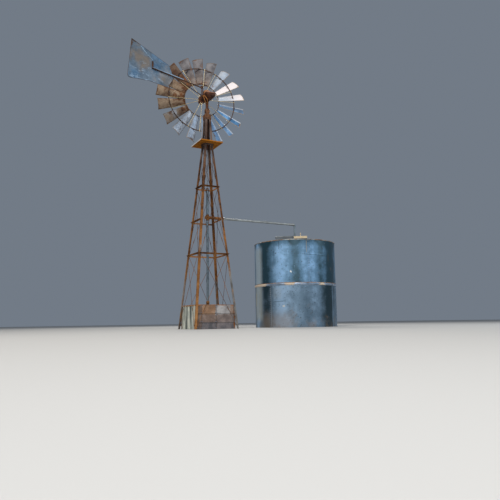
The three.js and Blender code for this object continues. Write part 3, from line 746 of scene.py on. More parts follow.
materials = {name: make(name, *given) for make, kinds in finishes.items() for name, given in kinds.items()}
print("Materials built:", len(materials))


# Mesh helpers. Those with Into in their name add a closed shape to an open bmesh
def boxInto(form, low, high, turn=Matrix()):
    middle = (Vector(low) + Vector(high)) / 2
    size = Vector(high) - Vector(low)
    shape = turn @ Matrix.Translation(middle) @ Matrix.Diagonal((*size, 1))
    return bmesh.ops.create_cube(form, size=1, matrix=shape)["verts"]


def alignedTo(start, end):
    start = Vector(start)
    along = Vector(end) - start
    turn = along.to_track_quat("Z", "Y").to_matrix().to_4x4()
    return Matrix.Translation(start) @ turn, along.length


def barInto(form, start, end, radius, sides=12, turn=Matrix()):
    seat, length = alignedTo(start, end)
    shape = turn @ seat @ Matrix.Translation((0, 0, length / 2))
    made = bmesh.ops.create_cone(
        form, cap_ends=True, segments=sides, radius1=radius, radius2=radius, depth=length, matrix=shape,
    )
    return made["verts"]


def loftInto(form, rings, closed=False):
    made = [[form.verts.new(point) for point in ring] for ring in rings]
    count = len(made[0])
    pairs = list(zip(made, made[1:]))
    if closed:
        pairs.append((made[-1], made[0]))
    for below, above in pairs:
        for i in range(count):
            j = (i + 1) % count
            form.faces.new((below[i], below[j], above[j], above[i]))
    if not closed:
        form.faces.new(list(reversed(made[0])))
        form.faces.new(made[-1])
    return [vert for ring in made for vert in ring]


def anglesOf(count, shift=0.0):
    return [2 * math.pi * (i + shift) / count for i in range(count)]


# A point at some angle and distance from the axis
def around(radius, angle, height=0.0):
    return Vector((radius * math.cos(angle), radius * math.sin(angle), height))


# A turned shape. Its profile of (radius, height) starts and ends on the axis, or closes on itself
def turnInto(form, profile, sides=32, turn=Matrix(), closed=False):
    angles = anglesOf(sides)
    rings = []
    for radius, height in profile:
        if radius == 0:
            rings.append([form.verts.new(turn @ Vector((0, 0, height)))])
        else:
            rings.append([form.verts.new(turn @ around(radius, angle, height)) for angle in angles])
    pairs = list(zip(rings, rings[1:]))
    if closed:
        pairs.append((rings[-1], rings[0]))
    for below, above in pairs:
        for i in range(sides):
            j = (i + 1) % sides
            low, high = len(below), len(above)
            corners = [below[i % low], below[j % low], above[j % high], above[i % high]]
            form.faces.new(list(dict.fromkeys(corners)))
    return [vert for ring in rings for vert in ring]


# The closed profile of a ring whose outer edges are cut off
def washer(bore, radius, bottom, top, edge):
    return [
        (bore, bottom), (radius - edge, bottom), (radius, bottom + edge), (radius, top - edge),
        (radius - edge, top), (bore, top),
    ]


def prismInto(form, outline, start, end, turn=Matrix()):
    # outline is (y, z) points, run along x from start to end
    return loftInto(form, [[turn @ Vector((x, y, z)) for y, z in outline] for x in (start, end)])


def soften(form, width, segments=2, angle=30):
    form.normal_update()
    limit = math.radians(angle)
    sharp = [edge for edge in form.edges if edge.is_manifold and edge.calc_face_angle(0) > limit]
    bmesh.ops.bevel(
        form, geom=sharp, offset=width, segments=segments, profile=0.6, affect="EDGES", clamp_overlap=True,
    )


def dressMesh(mesh, finish, smoothAngle=35):
    mesh.materials.clear()
    mesh.materials.append(materials[finish])
    for face in mesh.polygons:
        face.use_smooth = True
        face.material_index = 0
    mesh.set_sharp_from_angle(angle=math.radians(smoothAngle))


def addObject(name, data):
    item = bpy.data.objects.new(name, data)
    scene.collection.objects.link(item)
    return item


def addPiece(name, mesh, finish, body, replaced, smoothAngle):
    dressMesh(mesh, finish, smoothAngle)
    piece = addObject(name, mesh)
    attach(piece, body)
    if replaced:
        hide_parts(*replaced)
    return piece


def meshOf(form, name):
    mesh = bpy.data.meshes.new(name)
    form.to_mesh(mesh)
    form.free()
    return mesh


def makePiece(form, name, finish, body, replaced=(), smoothAngle=35, place=None):
    if place:
        form.transform(place)
    bmesh.ops.recalc_face_normals(form, faces=form.faces)
    return addPiece(name, meshOf(form, name), finish, body, replaced, smoothAngle)


def pointValue(mesh, name, values):
    attribute = mesh.attributes.get(name) or mesh.attributes.new(name, "FLOAT", "POINT")
    attribute.data.foreach_set("value", values)


# Geometry Nodes helpers
def openNodes(name, inputs, takesGeometry=True):
    given = {"Geometry": "Geometry", **inputs} if takesGeometry else inputs
    return openGroup(name, "GeometryNodeTree", {**given, "Finish": "Material"}, {"Geometry": "Geometry"})


def combine(x=0.0, y=0.0, z=0.0):
    return place("ShaderNodeCombineXYZ", {"X": x, "Y": y, "Z": z})


def stored(name, dataType):
    return place("GeometryNodeInputNamedAttribute", {"Name": name}, data_type=dataType)["Attribute"]


def join(*parts):
    joined = place("GeometryNodeJoinGeometry")
    for part in parts:
        feed(joined.socket.node.inputs[0], part)
    return joined


def closeNodes(geometry, given, out):
    real = place("GeometryNodeRealizeInstances", {"Geometry": geometry})
    feed(out["Geometry"], place("GeometryNodeSetMaterial", {"Geometry": real, "Material": given["Finish"]}))


def evaluated(item):
    graph = bpy.context.evaluated_depsgraph_get()
    made = item.evaluated_get(graph)
    return bpy.data.meshes.new_from_object(made, preserve_all_data_layers=True, depsgraph=graph)


def thicken(item, thickness, offset):
    skin = item.modifiers.new("skin", "SOLIDIFY")
    skin.thickness = thickness
    skin.offset = offset


# Runs a tree on a start mesh, and makes a piece of the evaluated result, as a plain mesh
def grow(
    name, tree, finish, inputs, body, replaced=(), start=None, turn=Matrix(), skin=None,
    smoothAngle=35,
):
    base = addObject(name, start or bpy.data.meshes.new(name + "Start"))
    modifier = base.modifiers.new("nodes", "NODES")
    modifier.node_group = trees[tree]
    sockets = trees[tree].interface.items_tree
    named = {item.name: item.identifier for item in sockets if item.in_out == "INPUT"}
    for label, value in {**inputs, "Finish": materials[finish]}.items():
        modifier[named[label]] = value
    if skin:
        thicken(base, skin, -1.0)
    base.update_tag()
    mesh = evaluated(base)
    mesh.name = name
    bpy.data.objects.remove(base)
    mesh.transform(turn)
    return addPiece(name, mesh, finish, body, replaced, smoothAngle)


# Bolt heads, rivets and screws: one head on each point, turned to the way the point faces
def fastenerNodes():
    tree, given, out = openNodes("fastenerSpots", {
        "Sides": 6, "Base Radius": 0.009, "Crown Radius": 0.008, "Head Height": 0.007,
        "Washer Radius": 0.013, "Washer Height": 0.002, "Seed": 3,
    })
    head = place("GeometryNodeMeshCone", {
        "Vertices": given["Sides"], "Radius Top": given["Crown Radius"],
        "Radius Bottom": given["Base Radius"], "Depth": given["Head Height"],
    })
    washer = place("GeometryNodeMeshCylinder", {
        "Vertices": 12, "Radius": given["Washer Radius"], "Depth": given["Washer Height"],
    })
    headLift = combine(z=given["Washer Height"])
    washerLift = combine(z=given["Washer Height"] * 0.5)
    lifted = place("GeometryNodeTransform", {"Geometry": head["Mesh"], "Translation": headLift})
    seated = place("GeometryNodeTransform", {"Geometry": washer["Mesh"], "Translation": washerLift})
    facing = stored("facing", "FLOAT_VECTOR")
    heads = place("GeometryNodeInstanceOnPoints", {
        "Points": place("GeometryNodeMeshToPoints", {"Mesh": given["Geometry"]}),
        "Instance": join(lifted, seated),
        "Rotation": place("FunctionNodeAlignRotationToVector", {"Vector": facing}, axis="Z"),
    })
    chance = place("FunctionNodeRandomValue", {"Seed": given["Seed"], 3: math.pi}, data_type="FLOAT")
    turned = place("GeometryNodeRotateInstances", {"Instances": heads, "Rotation": combine(z=chance[1])})
    closeNodes(turned, given, out)
    return tree


# Copies of one object, each turned about Z by its own angle. Film, zinc tone with painted glint, and the
# other values of its point go with it
def roundNodes():
    tree, given, out = openNodes("copiesRound", {"Template": "Object", "Wobble": 0.0, "Seed": 5})
    picked = place("GeometryNodeObjectInfo", {"Object": given["Template"]}, transform_space="ORIGINAL")
    angle = stored("turn", "FLOAT")
    limits = {"Seed": given["Seed"], 0: (-1, -1, -1), 1: (1, 1, 1)}
    lean = place("FunctionNodeRandomValue", limits, data_type="FLOAT_VECTOR")
    tilt = place("ShaderNodeVectorMath", {0: lean, "Scale": given["Wobble"]}, operation="SCALE")
    copies = place("GeometryNodeInstanceOnPoints", {
        "Points": place("GeometryNodeMeshToPoints", {"Mesh": given["Geometry"]}),
        "Instance": picked["Geometry"],
        "Rotation": place("ShaderNodeVectorMath", {0: combine(z=angle), 1: tilt}, operation="ADD"),
    })
    closeNodes(copies, given, out)
    return tree


# A sheet wrapped on a cylinder, with shallow dents that fade out towards its edges
def wrapNodes():
    tree, given, out = openNodes("wrappedSheet", {
        "Radius": 1.0, "From": 0.0, "To": 2.0, "Bottom": 0.0, "Top": 1.0, "Columns": 90, "Rows": 36,
        "Dent Depth": 0.004, "Dent Scale": 1.5, "Seed": 1.0,
    }, False)
    grid = place("GeometryNodeMeshGrid", {"Vertices X": given["Columns"], "Vertices Y": given["Rows"]})
    parts = split(place("GeometryNodeInputPosition"))
    u, v = parts["X"] + 0.5, parts["Y"] + 0.5
    angle = given["From"] + u * (given["To"] - given["From"])
    height = given["Bottom"] + v * (given["Top"] - given["Bottom"])
    cosine, sine = calc("COSINE", angle), calc("SINE", angle)
    flat = combine(cosine + given["Seed"], sine, height)
    dents = place("ShaderNodeTexNoise", {"Vector": flat, "Scale": given["Dent Scale"], "Detail": 2.0})
    inward = largest(dents - 0.45, 0.0) * given["Dent Depth"]
    acrossFree = calc("MINIMUM", u * (1.0 - u) * 12.0, 1.0)
    upFree = calc("MINIMUM", v * (1.0 - v) * 12.0, 1.0)
    radius = given["Radius"] - inward * (acrossFree * upFree)
    wrapped = combine(cosine * radius, sine * radius, height)
    moved = place("GeometryNodeSetPosition", {"Geometry": grid["Mesh"], "Position": wrapped})
    closeNodes(moved, given, out)
    return tree


# A corrugated sheet in its own plane: x along the waves, y up, z out
def waveNodes():
    tree, given, out = openNodes("corrugatedSheet", {
        "Length": 1.0, "Height": 0.6, "Pitch": 0.15, "Depth": 0.018, "Columns": 170, "Rows": 9,
    }, False)
    grid = place("GeometryNodeMeshGrid", {
        "Size X": given["Length"], "Size Y": given["Height"],
        "Vertices X": given["Columns"], "Vertices Y": given["Rows"],
    })
    travelled = split(place("GeometryNodeInputPosition"))["X"] + given["Length"] * 0.5
    turns = travelled / given["Pitch"] * (2 * math.pi)
    lift = combine(z=(calc("COSINE", turns) - 1.0) * 0.5 * given["Depth"])
    moved = place("GeometryNodeSetPosition", {"Geometry": grid["Mesh"], "Offset": lift})
    closeNodes(moved, given, out)
    return tree


# A pipe along a polyline, with rounded bends and sleeves at even steps
def pipeNodes():
    tree, given, out = openNodes("pipeRun", {
        "Pipe Radius": 0.03, "Bend Radius": 0.05, "Sleeve Radius": 0.036, "Sleeve Length": 0.07,
        "Sleeve Count": 2, "Sides": 28,
    })
    path = place("GeometryNodeMeshToCurve", {"Mesh": given["Geometry"]})
    bend = {"Curve": path, "Radius": given["Bend Radius"], "Count": 9}
    section = {"Resolution": given["Sides"], "Radius": given["Pipe Radius"]}
    pipe = place("GeometryNodeCurveToMesh", {
        "Curve": place("GeometryNodeFilletCurve", bend, mode="POLY"),
        "Profile Curve": place("GeometryNodeCurvePrimitiveCircle", section), "Fill Caps": True,
    })
    evenly = {"Curve": path, "Count": given["Sleeve Count"]}
    stops = place("GeometryNodeCurveToPoints", evenly, mode="COUNT")
    sleeve = place("GeometryNodeMeshCylinder", {
        "Vertices": given["Sides"], "Radius": given["Sleeve Radius"], "Depth": given["Sleeve Length"],
    })
    sleeves = place("GeometryNodeInstanceOnPoints", {
        "Points": stops["Points"], "Instance": sleeve["Mesh"],
        "Rotation": place("FunctionNodeAlignRotationToVector", {"Vector": stops["Tangent"]}, axis="Z"),
    })
    closeNodes(join(pipe, sleeves), given, out)
    return tree


trees = {
    "fastener": fastenerNodes(),
    "round": roundNodes(),
    "wrap": wrapNodes(),
    "wave": waveNodes(),
    "pipe": pipeNodes(),
}
print("Geometry Nodes trees built:", len(trees))

# Places for fasteners, gathered while the pieces are made: (point, way it faces) by body and kind
fastenerSizes = ("Sides", "Base Radius", "Crown Radius", "Head Height", "Washer Radius", "Washer Height")
fastenerKinds = {
    "bolt": (6, 0.011, 0.0105, 0.008, 0.015, 0.0025),
    "smallBolt": (6, 0.007, 0.0066, 0.005, 0.0095, 0.0015),
    "rivet": (10, 0.0075, 0.0035, 0.004, 0.008, 0.0005),
}
fastenerSpots = {}


def fasten(body, kind, point, facing, seat=Matrix()):
    spot = (seat @ Vector(point), (seat.to_3x3() @ Vector(facing)).normalized())
    fastenerSpots.setdefault((body, kind), []).append(spot)


def addFasteners():
    for (body, kind), spots in sorted(fastenerSpots.items()):
        name = body + kind[0].upper() + kind[1:] + "s"
        start = bpy.data.meshes.new(name + "Spots")
        start.from_pydata([point for point, facing in spots], [], [])
        facing = start.attributes.new("facing", "FLOAT_VECTOR", "POINT")
        facing.data.foreach_set("vector", [value for spot in spots for value in spot[1]])
        finish = "rivetZinc" if kind == "rivet" else "boltSteel"
        sizes = dict(zip(fastenerSizes, fastenerKinds[kind]))
        grow(name, "fastener", finish, sizes, body, start=start, smoothAngle=25)
        print("Fasteners:", name, len(spots))


# Tower: four angle iron legs in lapped lengths
legSet = {
    "waistHalf": 0.113,
    "waistHeight": 4.84,
    "topHalf": 0.074,
    "flange": 0.055,
    "steel": 0.006,
    "edge": 0.0012,
    "lapHeights": (1.89, 3.68),
    "lapLength": 0.34,
    "lapSteel": 0.005,
    "lapWidth": 0.044,
    "boltInset": 0.030,
}
corners = {"front": (-1, -1), "right": (1, -1), "back": (1, 1), "left": (-1, 1)}
sides = ["front", "right", "back", "left"]
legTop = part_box("leg_front")[1].z
footHalf = -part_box("leg_front")[0].x


def towerHalf(height):
    given = legSet
    if height <= given["waistHeight"]:
        return footHalf + (given["waistHalf"] - footHalf) * height / given["waistHeight"]
    share = (height - given["waistHeight"]) / (legTop - given["waistHeight"])
    return given["waistHalf"] + (given["topHalf"] - given["waistHalf"]) * share


# An L section with its heel set in by some distance from the leg's outer faces
def angleRing(signs, height, heel, width, steel):
    half = towerHalf(height) - heel
    outline = [(0, 0), (width, 0), (width, steel), (steel, steel), (steel, width), (0, width)]
    return [(signs[0] * (half - x), signs[1] * (half - y), height) for x, y in outline]


def sideTurn(side):
    return turned(90 * sides.index(side))


def addLegs():
    given = legSet
    for name, signs in corners.items():
        form = bmesh.new()
        heights = [0, given["waistHeight"], legTop]
        loftInto(form, [angleRing(signs, z, 0, given["flange"], given["steel"]) for z in heights])
        inset = given["steel"] + 0.0003
        for middle in given["lapHeights"]:
            span = (middle - given["lapLength"] / 2, middle + given["lapLength"] / 2)
            loftInto(form, [angleRing(signs, z, inset, given["lapWidth"], given["lapSteel"]) for z in span])
        soften(form, given["edge"])
        makePiece(form, "leg" + name.title(), "towerSteel", "stand", [f"leg_{name}"])
        for middle in given["lapHeights"]:
            for drop in (-0.12, -0.06, 0.06, 0.12):
                z = middle + drop
                half = towerHalf(z)
                across = half - given["boltInset"]
                x, y = signs
                fasten("stand", "smallBolt", (x * half, y * across, z), (x, 0, 0))
                fasten("stand", "smallBolt", (x * across, y * half, z), (0, y, 0))


# Sides: angle girts outside the legs, and crossed rods with eyes at their ends
latticeSet = {
    "lower": 1.89,
    "middle": 2.77,
    "upper": 3.68,
    "bearer": 4.8517,
    "pipeRest": 2.8317,
    "depth": 0.040,
    "steel": 0.005,
    "endInset": 0.002,
    "boltDrop": 0.006,
    "rodRadius": 0.005,
    "rodStand": 0.007,
    "rodEnd": 0.9,
    "rodFoot": 0.09,
    "eyeRadius": 0.015,
    "eyeDepth": 0.006,
    "buckleRadius": 0.009,
    "buckleHalf": 0.040,
    "buckleShare": 0.22,
}


def girtInto(form, turn, height):
    given = latticeSet
    bottom = height - given["depth"] / 2
    half = towerHalf(bottom)
    end = half - given["endInset"]
    face = -half - 0.0003
    top = bottom + given["depth"]
    out = face - given["depth"]
    web = face - given["steel"]
    under = top - given["steel"]
    outline = [(face, bottom), (face, top), (out, top), (out, under), (web, under), (web, bottom)]
    prismInto(form, outline, -end, end, turn)
    for sign in (-1, 1):
        spot = (sign * (half - legSet["boltInset"]), web, height - given["boltDrop"])
        fasten("stand", "bolt", spot, (0, -1, 0), turn)


def facePoint(across, height):
    half = towerHalf(height)
    return Vector((across * half, -half - latticeSet["rodStand"], height))


def rodsInto(form, turn, low, high):
    given = latticeSet
    outward = turn.to_3x3() @ Vector((0, -1, 0))
    for lean in (-1, 1):
        start = turn @ facePoint(-lean * given["rodEnd"], low)
        end = turn @ facePoint(lean * given["rodEnd"], high)
        barInto(form, start, end, given["rodRadius"], 10)
        for spot in (start, end):
            eye = outward * given["eyeDepth"] / 2
            barInto(form, spot - eye, spot + eye, given["eyeRadius"], 16)
            fasten("stand", "smallBolt", spot + eye, outward)
        along = (end - start).normalized()
        grip = start + (end - start) * given["buckleShare"]
        reach = along * given["buckleHalf"]
        barInto(form, grip - reach, grip + reach, given["buckleRadius"], 6)


def addLattice():
    given = latticeSet
    extra = {"right": [given["pipeRest"]], "back": [given["middle"]], "left": [given["middle"]]}
    for side in sides:
        turn = sideTurn(side)
        form = bmesh.new()
        for height in [given["lower"], given["upper"], given["bearer"], *extra.get(side, [])]:
            girtInto(form, turn, height)
        soften(form, 0.001, 1)
        makePiece(form, "side" + side.title(), "latticeSteel", "stand", [f"lattice_{side}"])
        form = bmesh.new()
        levels = [given[level] for level in ("rodFoot", "lower", "upper", "bearer")]
        for low, high in zip(levels, levels[1:]):
            rodsInto(form, turn, low, high)
        makePiece(form, "rods" + side.title(), "rodRust", "stand")


# Platform: boards on the top girts, open in the middle
platformSet = {
    "hole": 0.122,
    "gap": 0.006,
    "edge": 0.003,
    "middleRows": 3,
    "outerRows": 2,
    "uneven": 0.004,
}


def boardInto(form, low, high):
    rise = random.uniform(-0.001, 0.001)
    verts = boxInto(form, (low[0], low[1], low[2] + rise), (high[0], high[1], high[2] + rise))
    middle = (low[0] + high[0]) / 2
    for vert in verts:
        vert.co.x += random.uniform(-1, 0) * math.copysign(platformSet["uneven"], vert.co.x - middle)


def addPlatform():
    given = platformSet
    random.seed(11)
    low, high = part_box("platform")
    hole = given["hole"]
    form = bmesh.new()
    for sign, reach in ((-1, -low.y), (1, high.y)):
        step = (reach - hole) / given["outerRows"]
        for row in range(given["outerRows"]):
            near = sign * (hole + row * step + given["gap"] / 2)
            far = sign * (hole + (row + 1) * step - given["gap"] / 2)
            start, end = min(near, far), max(near, far)
            boardInto(form, (low.x, start, low.z), (high.x, end, high.z))
    middleStep = 2 * hole / given["middleRows"]
    for row in range(given["middleRows"]):
        near = -hole + row * middleStep + given["gap"] / 2
        far = near + middleStep - given["gap"]
        for start, end in ((low.x, -hole), (hole, high.x)):
            boardInto(form, (start, near, low.z), (end, far, high.z))
    soften(form, given["edge"])
    makePiece(form, "platformBoards", "platformBoards", "stand", ["platform"])
    for x in (-1, 1):
        for y in (-0.27, -0.17, 0.17, 0.31):
            fasten("stand", "bolt", (x * 0.10, y, high.z), (0, 0, 1))


# Well enclosure: flat sheets lapped in rows, one corrugated side, rusty lips along the top
enclosureSet = {
    "sheet": 0.003,
    "lipWidth": 0.025,
    "lipSteel": 0.004,
    "rows": (0.0, 0.153, 0.372, 0.597),
    "columns": (-1.0, -0.74, 0.0, 1.0),
    "lap": 0.0012,
    "pitch": 0.149,
    "depth": 0.018,
    "wavySheet": 0.0022,
    "screwStep": 0.16,
    "screwInset": 0.015,
    "buckle": 0.004,
    "panelGrid": (9, 7),
    "cornerRoom": 0.0017,
    "overlap": 0.006,
    "lipHeight": 0.03,
    # The panel on the front that is worn bare: left, right and lowest point
    "bareArea": (-0.01, 0.375, 0.37),
    "bareness": 0.42,
    "jointReach": 0.008,
    # Painted shadow over the first column of each flat side, a little less dark than a joint
    "firstShade": 0.72,
    "rustAcross": 0.93,
    "rustAbove": 0.585,
    # How slate-grey each panel is, row by row from the ground, for each column from the left
    "slate": ((0.60, 0.55, 0.50), (1.0, 0.55, 0.0), (1.0, 0.75, 0.45)),
}


def panelInto(form, turn, left, right, bottom, top, outer, index):
    # A flat sheet that buckles a little towards the inside, built as a grid on both faces
    across, up = enclosureSet["panelGrid"]
    skins = []
    for depth in (0.0, enclosureSet["sheet"] - 0.0005):
        skin = []
        for row in range(up + 1):
            line = []
            for column in range(across + 1):
                u, v = column / across, row / up
                free = min(1.0, 5 * min(u, 1 - u)) * min(1.0, 5 * min(v, 1 - v))
                swell = noise.noise(Vector((u * 2 + index * 3.1, v * 1.7, index))) + 0.35
                inward = max(0.0, swell) * enclosureSet["buckle"] * free
                x, z = left + (right - left) * u, bottom + (top - bottom) * v
                line.append(form.verts.new(turn @ Vector((x, outer + depth + inward, z))))
            skin.append(line)
        skins.append(skin)
    front, back = skins
    for row in range(up):
        for column in range(across):
            for skin in skins:
                quad = skin[row][column:column + 2] + skin[row + 1][column:column + 2][::-1]
                form.faces.new(quad if skin is front else list(reversed(quad)))
    rim = [(0, c) for c in range(across)] + [(r, across) for r in range(up)]
    rim += [(up, c) for c in range(across, 0, -1)] + [(r, 0) for r in range(up, 0, -1)]
    for (r, c), (nextR, nextC) in zip(rim, rim[1:] + rim[:1]):
        form.faces.new([front[r][c], back[r][c], back[nextR][nextC], front[nextR][nextC]])


def flatSide(side):
    given = enclosureSet
    low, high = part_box("enclosure_" + side)
    half = max(high.x - low.x, high.y - low.y) / 2 - given["cornerRoom"]
    outer = -max(abs(low.x), abs(low.y), abs(high.x), abs(high.y))
    turn = sideTurn(side)
    form = bmesh.new()
    index = sides.index(side) * 9
    for column, (left, right) in enumerate(zip(given["columns"], given["columns"][1:])):
        for row, (bottom, top) in enumerate(zip(given["rows"], given["rows"][1:])):
            index += 1
            lift = given["lap"] * ((row + column) % 2)
            over = given["overlap"] if column < len(given["columns"]) - 2 else 0
            panelInto(form, turn, left * half, right * half + over, bottom, top, outer + lift, index)
            step = given["screwStep"]
            spots = [bottom + 0.03 + i * step for i in range(int((top - bottom) / step) + 1)]
            for z in spots:
                for x in (left * half + given["screwInset"], right * half - given["screwInset"]):
                    fasten("stand", "rivet", (x, outer + lift, min(z, top - 0.02)), (0, -1, 0), turn)
    name, node = "sheet" + side.title(), "enclosure_" + side
    piece = makePiece(form, name, "flatSheet", "stand", [node])
    back = turn.inverted()
    bareLeft, bareRight, bareLow = given["bareArea"]
    values = {"bare": [], "slate": [], "jointAndShadow": [], "edge": []}
    for vert in piece.data.vertices:
        at = back @ vert.co
        across = at.x / half
        worn = side == "front" and bareLeft < at.x < bareRight and at.z > bareLow
        column = sum(across > line for line in given["columns"][1:-1])
        row = sum(at.z > line for line in given["rows"][1:-1])
        beside = [abs(at.x - line * half) for line in given["columns"]]
        nearest = min(beside + [abs(at.z - line) for line in given["rows"]])
        shaded = given["firstShade"] if column == 0 else 0.0
        rusty = across > given["rustAcross"] or at.z > given["rustAbove"]
        values["bare"].append(given["bareness"] if worn else 0.0)
        values["slate"].append(given["slate"][column][row])
        values["jointAndShadow"].append(1.0 if nearest < given["jointReach"] else shaded)
        values["edge"].append(1.0 if rusty else 0.0)
    for kind, found in values.items():
        pointValue(piece.data, kind, found)
    return outer, half


def addEnclosure():
    given = enclosureSet
    for side in ("front", "right", "back"):
        outer, half = flatSide(side)
    low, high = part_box("enclosure_left")
    length = high.y - low.y
    height = high.z
    wave = {"Length": length, "Height": height, "Pitch": given["pitch"], "Depth": given["depth"]}
    turn = sideTurn("left") @ Matrix.Translation((0, low.x, height / 2)) @ turned(90, "X")
    grow(
        "sheetLeft", "wave", "wavySheet", wave, "stand", ["enclosure_left"],
        turn=turn, skin=given["wavySheet"],
    )
    form = bmesh.new()
    for side in sides:
        turn = sideTurn(side)
        reach = half - given["lipWidth"] - 2 * given["sheet"]
        face = outer + given["sheet"] + 0.0005
        back = face + given["lipWidth"]
        steel, lip = given["lipSteel"], given["lipHeight"]
        inner, under, low = face + steel, height - steel, height - lip
        outline = [(face, height), (face, low), (inner, low), (inner, under), (back, under), (back, height)]
        prismInto(form, outline, -reach, reach, turn)
        near, far, deep = -half + steel, -half + lip, face + lip
        post = [(-half, face), (far, face), (far, inner), (near, inner), (near, deep), (-half, deep)]
        shift = 0.004 if side != "left" else 0.0
        ends = (0.002, height - 0.031)
        loftInto(form, [[turn @ Vector((x + shift, y, z)) for x, y in post] for z in ends])
    soften(form, 0.0008, 1)
    makePiece(form, "enclosureRails", "lipRust", "stand")


addLegs()
addLattice()
addPlatform()
addEnclosure()
print("Tower, platform and enclosure made")


# Pump: well flange, rising main, gland, rod, and the pipe to the tank
pumpSet = {
    "mainRadius": 0.030,
    "sleeve": 0.0365,
    "sleeveLength": 0.09,
    "branchBead": 0.043,
    "flangeBolts": 8,
    "boltCircle": 0.115,
    "unionRadius": 0.047,
    "unionHalf": 0.042,
    "unionHeight": 0.665,
    "elbowBend": 0.036,
}


def addPipe(name, finish, node, points, inputs):
    path = bpy.data.meshes.new(name + "Path")
    path.from_pydata(points, [(i, i + 1) for i in range(len(points) - 1)], [])
    return grow(name, "pipe", finish, inputs, "stand", [node], start=path)


def addPump():
    given = pumpSet
    low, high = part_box("well_flange")
    radius, top = high.x, high.z
    form = bmesh.new()
    turnInto(form, [
        (0, 0.0), (radius - 0.003, 0.0), (radius, 0.003), (radius, top - 0.004), (radius - 0.004, top),
        (0.058, top), (0.050, top + 0.012), (0.044, top + 0.040), (0.040, top + 0.046), (0, top + 0.046),
    ], 56)
    makePiece(form, "wellFlange", "wellIron", "stand", ["well_flange"])
    for angle in anglesOf(given["flangeBolts"], 0.5):
        fasten("stand", "bolt", around(given["boltCircle"], angle, top), (0, 0, 1))

    low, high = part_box("rising_main")
    addPipe("risingMain", "riserZinc", "rising_main", [(0, 0, low.z + 0.03), (0, 0, high.z)], {
        "Pipe Radius": given["mainRadius"], "Sleeve Radius": given["sleeve"],
        "Sleeve Length": given["sleeveLength"], "Sleeve Count": 4,
    })
    # The rusty union over the enclosure
    form = bmesh.new()
    outer, reach = given["unionRadius"], given["unionHalf"]
    turnInto(form, [
        (given["mainRadius"], -reach), (outer - 0.006, -reach), (outer - 0.004, -0.020), (outer, -0.018),
        (outer, 0.012), (outer - 0.004, 0.014), (outer - 0.006, reach), (given["mainRadius"], reach),
    ], 8, Matrix.Translation((0, 0, given["unionHeight"])), closed=True)
    soften(form, 0.0012, 1, 20)
    makePiece(form, "mainUnion", "branchRust", "stand")

    low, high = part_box("rod_gland")
    form = bmesh.new()
    bore = 0.0085
    turnInto(form, [
        (bore, low.z), (0.040, low.z), (0.045, low.z + 0.005), (0.045, low.z + 0.020),
        (0.034, low.z + 0.024), (0.034, low.z + 0.042), (0.040, low.z + 0.044), (0.040, high.z - 0.004),
        (0.036, high.z), (bore, high.z),
    ], 32, closed=True)
    makePiece(form, "rodGland", "wellIron", "stand", ["rod_gland"])

    low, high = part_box("pump_rod")
    form = bmesh.new()
    radius = high.x
    barInto(form, (0, 0, low.z), (0, 0, high.z), radius, 16)
    soften(form, 0.0015)
    for height in (4.30, 5.05):
        barInto(form, (0, 0, height - 0.03), (0, 0, height + 0.03), radius * 1.45, 6)
    makePiece(form, "pumpRod", "pumpRodSteel", "pump_rod", ["pump_rod"])


def addDelivery():
    given = pumpSet
    low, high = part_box("delivery_branch")
    height = (low.z + high.z) / 2
    radius = (high.z - low.z) / 2
    bead = given["branchBead"]
    along = Matrix.Translation((0, 0, height)) @ turned(90, "Y")
    form = bmesh.new()
    turnInto(form, [
        (0, -0.062), (bead, -0.062), (bead, -0.050), (radius, -0.046), (radius, 0.046), (bead, 0.050),
        (bead, 0.066), (radius, 0.070), (radius, high.x - 0.052), (bead, high.x - 0.048),
        (bead, high.x - 0.004), (radius, high.x), (0, high.x),
    ], 32, along)
    turnInto(form, [
        (0, -0.075), (bead, -0.075), (bead, -0.058), (radius, -0.054), (radius, 0.054), (bead, 0.058),
        (bead, 0.075), (0, 0.075),
    ], 32, Matrix.Translation((0, 0, height)))
    makePiece(form, "deliveryBranch", "branchRust", "stand", ["delivery_branch"])

    low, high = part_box("delivery_pipe")
    spoutLow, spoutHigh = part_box("delivery_spout")
    radius = (high.z - low.z) / 2
    spoutX = spoutHigh.x - radius
    level = [(low.x, 0, height), (high.x, 0, height)]
    addPipe("deliveryPipe", "pipeZinc", "delivery_pipe", level, {
        "Pipe Radius": radius - 0.001, "Sleeve Radius": radius + 0.004,
        "Sleeve Length": 0.08, "Sleeve Count": 3,
    })
    bend = [(spoutLow.x, 0, height), (spoutX, 0, height), (spoutX, 0, spoutLow.z)]
    addPipe("deliverySpout", "riserZinc", "delivery_spout", bend, {
        "Pipe Radius": radius - 0.001, "Bend Radius": given["elbowBend"], "Sleeve Radius": radius + 0.003,
        "Sleeve Length": 0.022, "Sleeve Count": 2,
    })


addPump()
addDelivery()
print("Pump and delivery pipe made")


# Mast pipe and the cap that closes the tower
# A point at some angle on a rounded outline. The higher its power, the squarer the outline
def roundedPoint(angle, height, left, right, front, back, power):
    c, s = math.cos(angle), math.sin(angle)
    x = (left if c < 0 else right) * math.copysign(abs(c) ** (2 / power), c)
    y = (front + back) / 2 + (front - back) / 2 * math.copysign(abs(s) ** (2 / power), s)
    return Vector((x, y, height))


def roundedRing(height, left, right, front, back, power, points):
    return [roundedPoint(angle, height, left, right, front, back, power) for angle in anglesOf(points)]


capSet = {
    "shoulder": 5.706,
    # Half width and height of the knuckle that rises from the cap
    "knuckle": (
        (0.0498, 5.7062), (0.0500, 5.730), (0.0560, 5.752), (0.0595, 5.780), (0.0598, 5.832),
        (0.0570, 5.856), (0.0480, 5.8745),
    ),
    "squareness": 5.0,
    "sheet": 0.005,
}


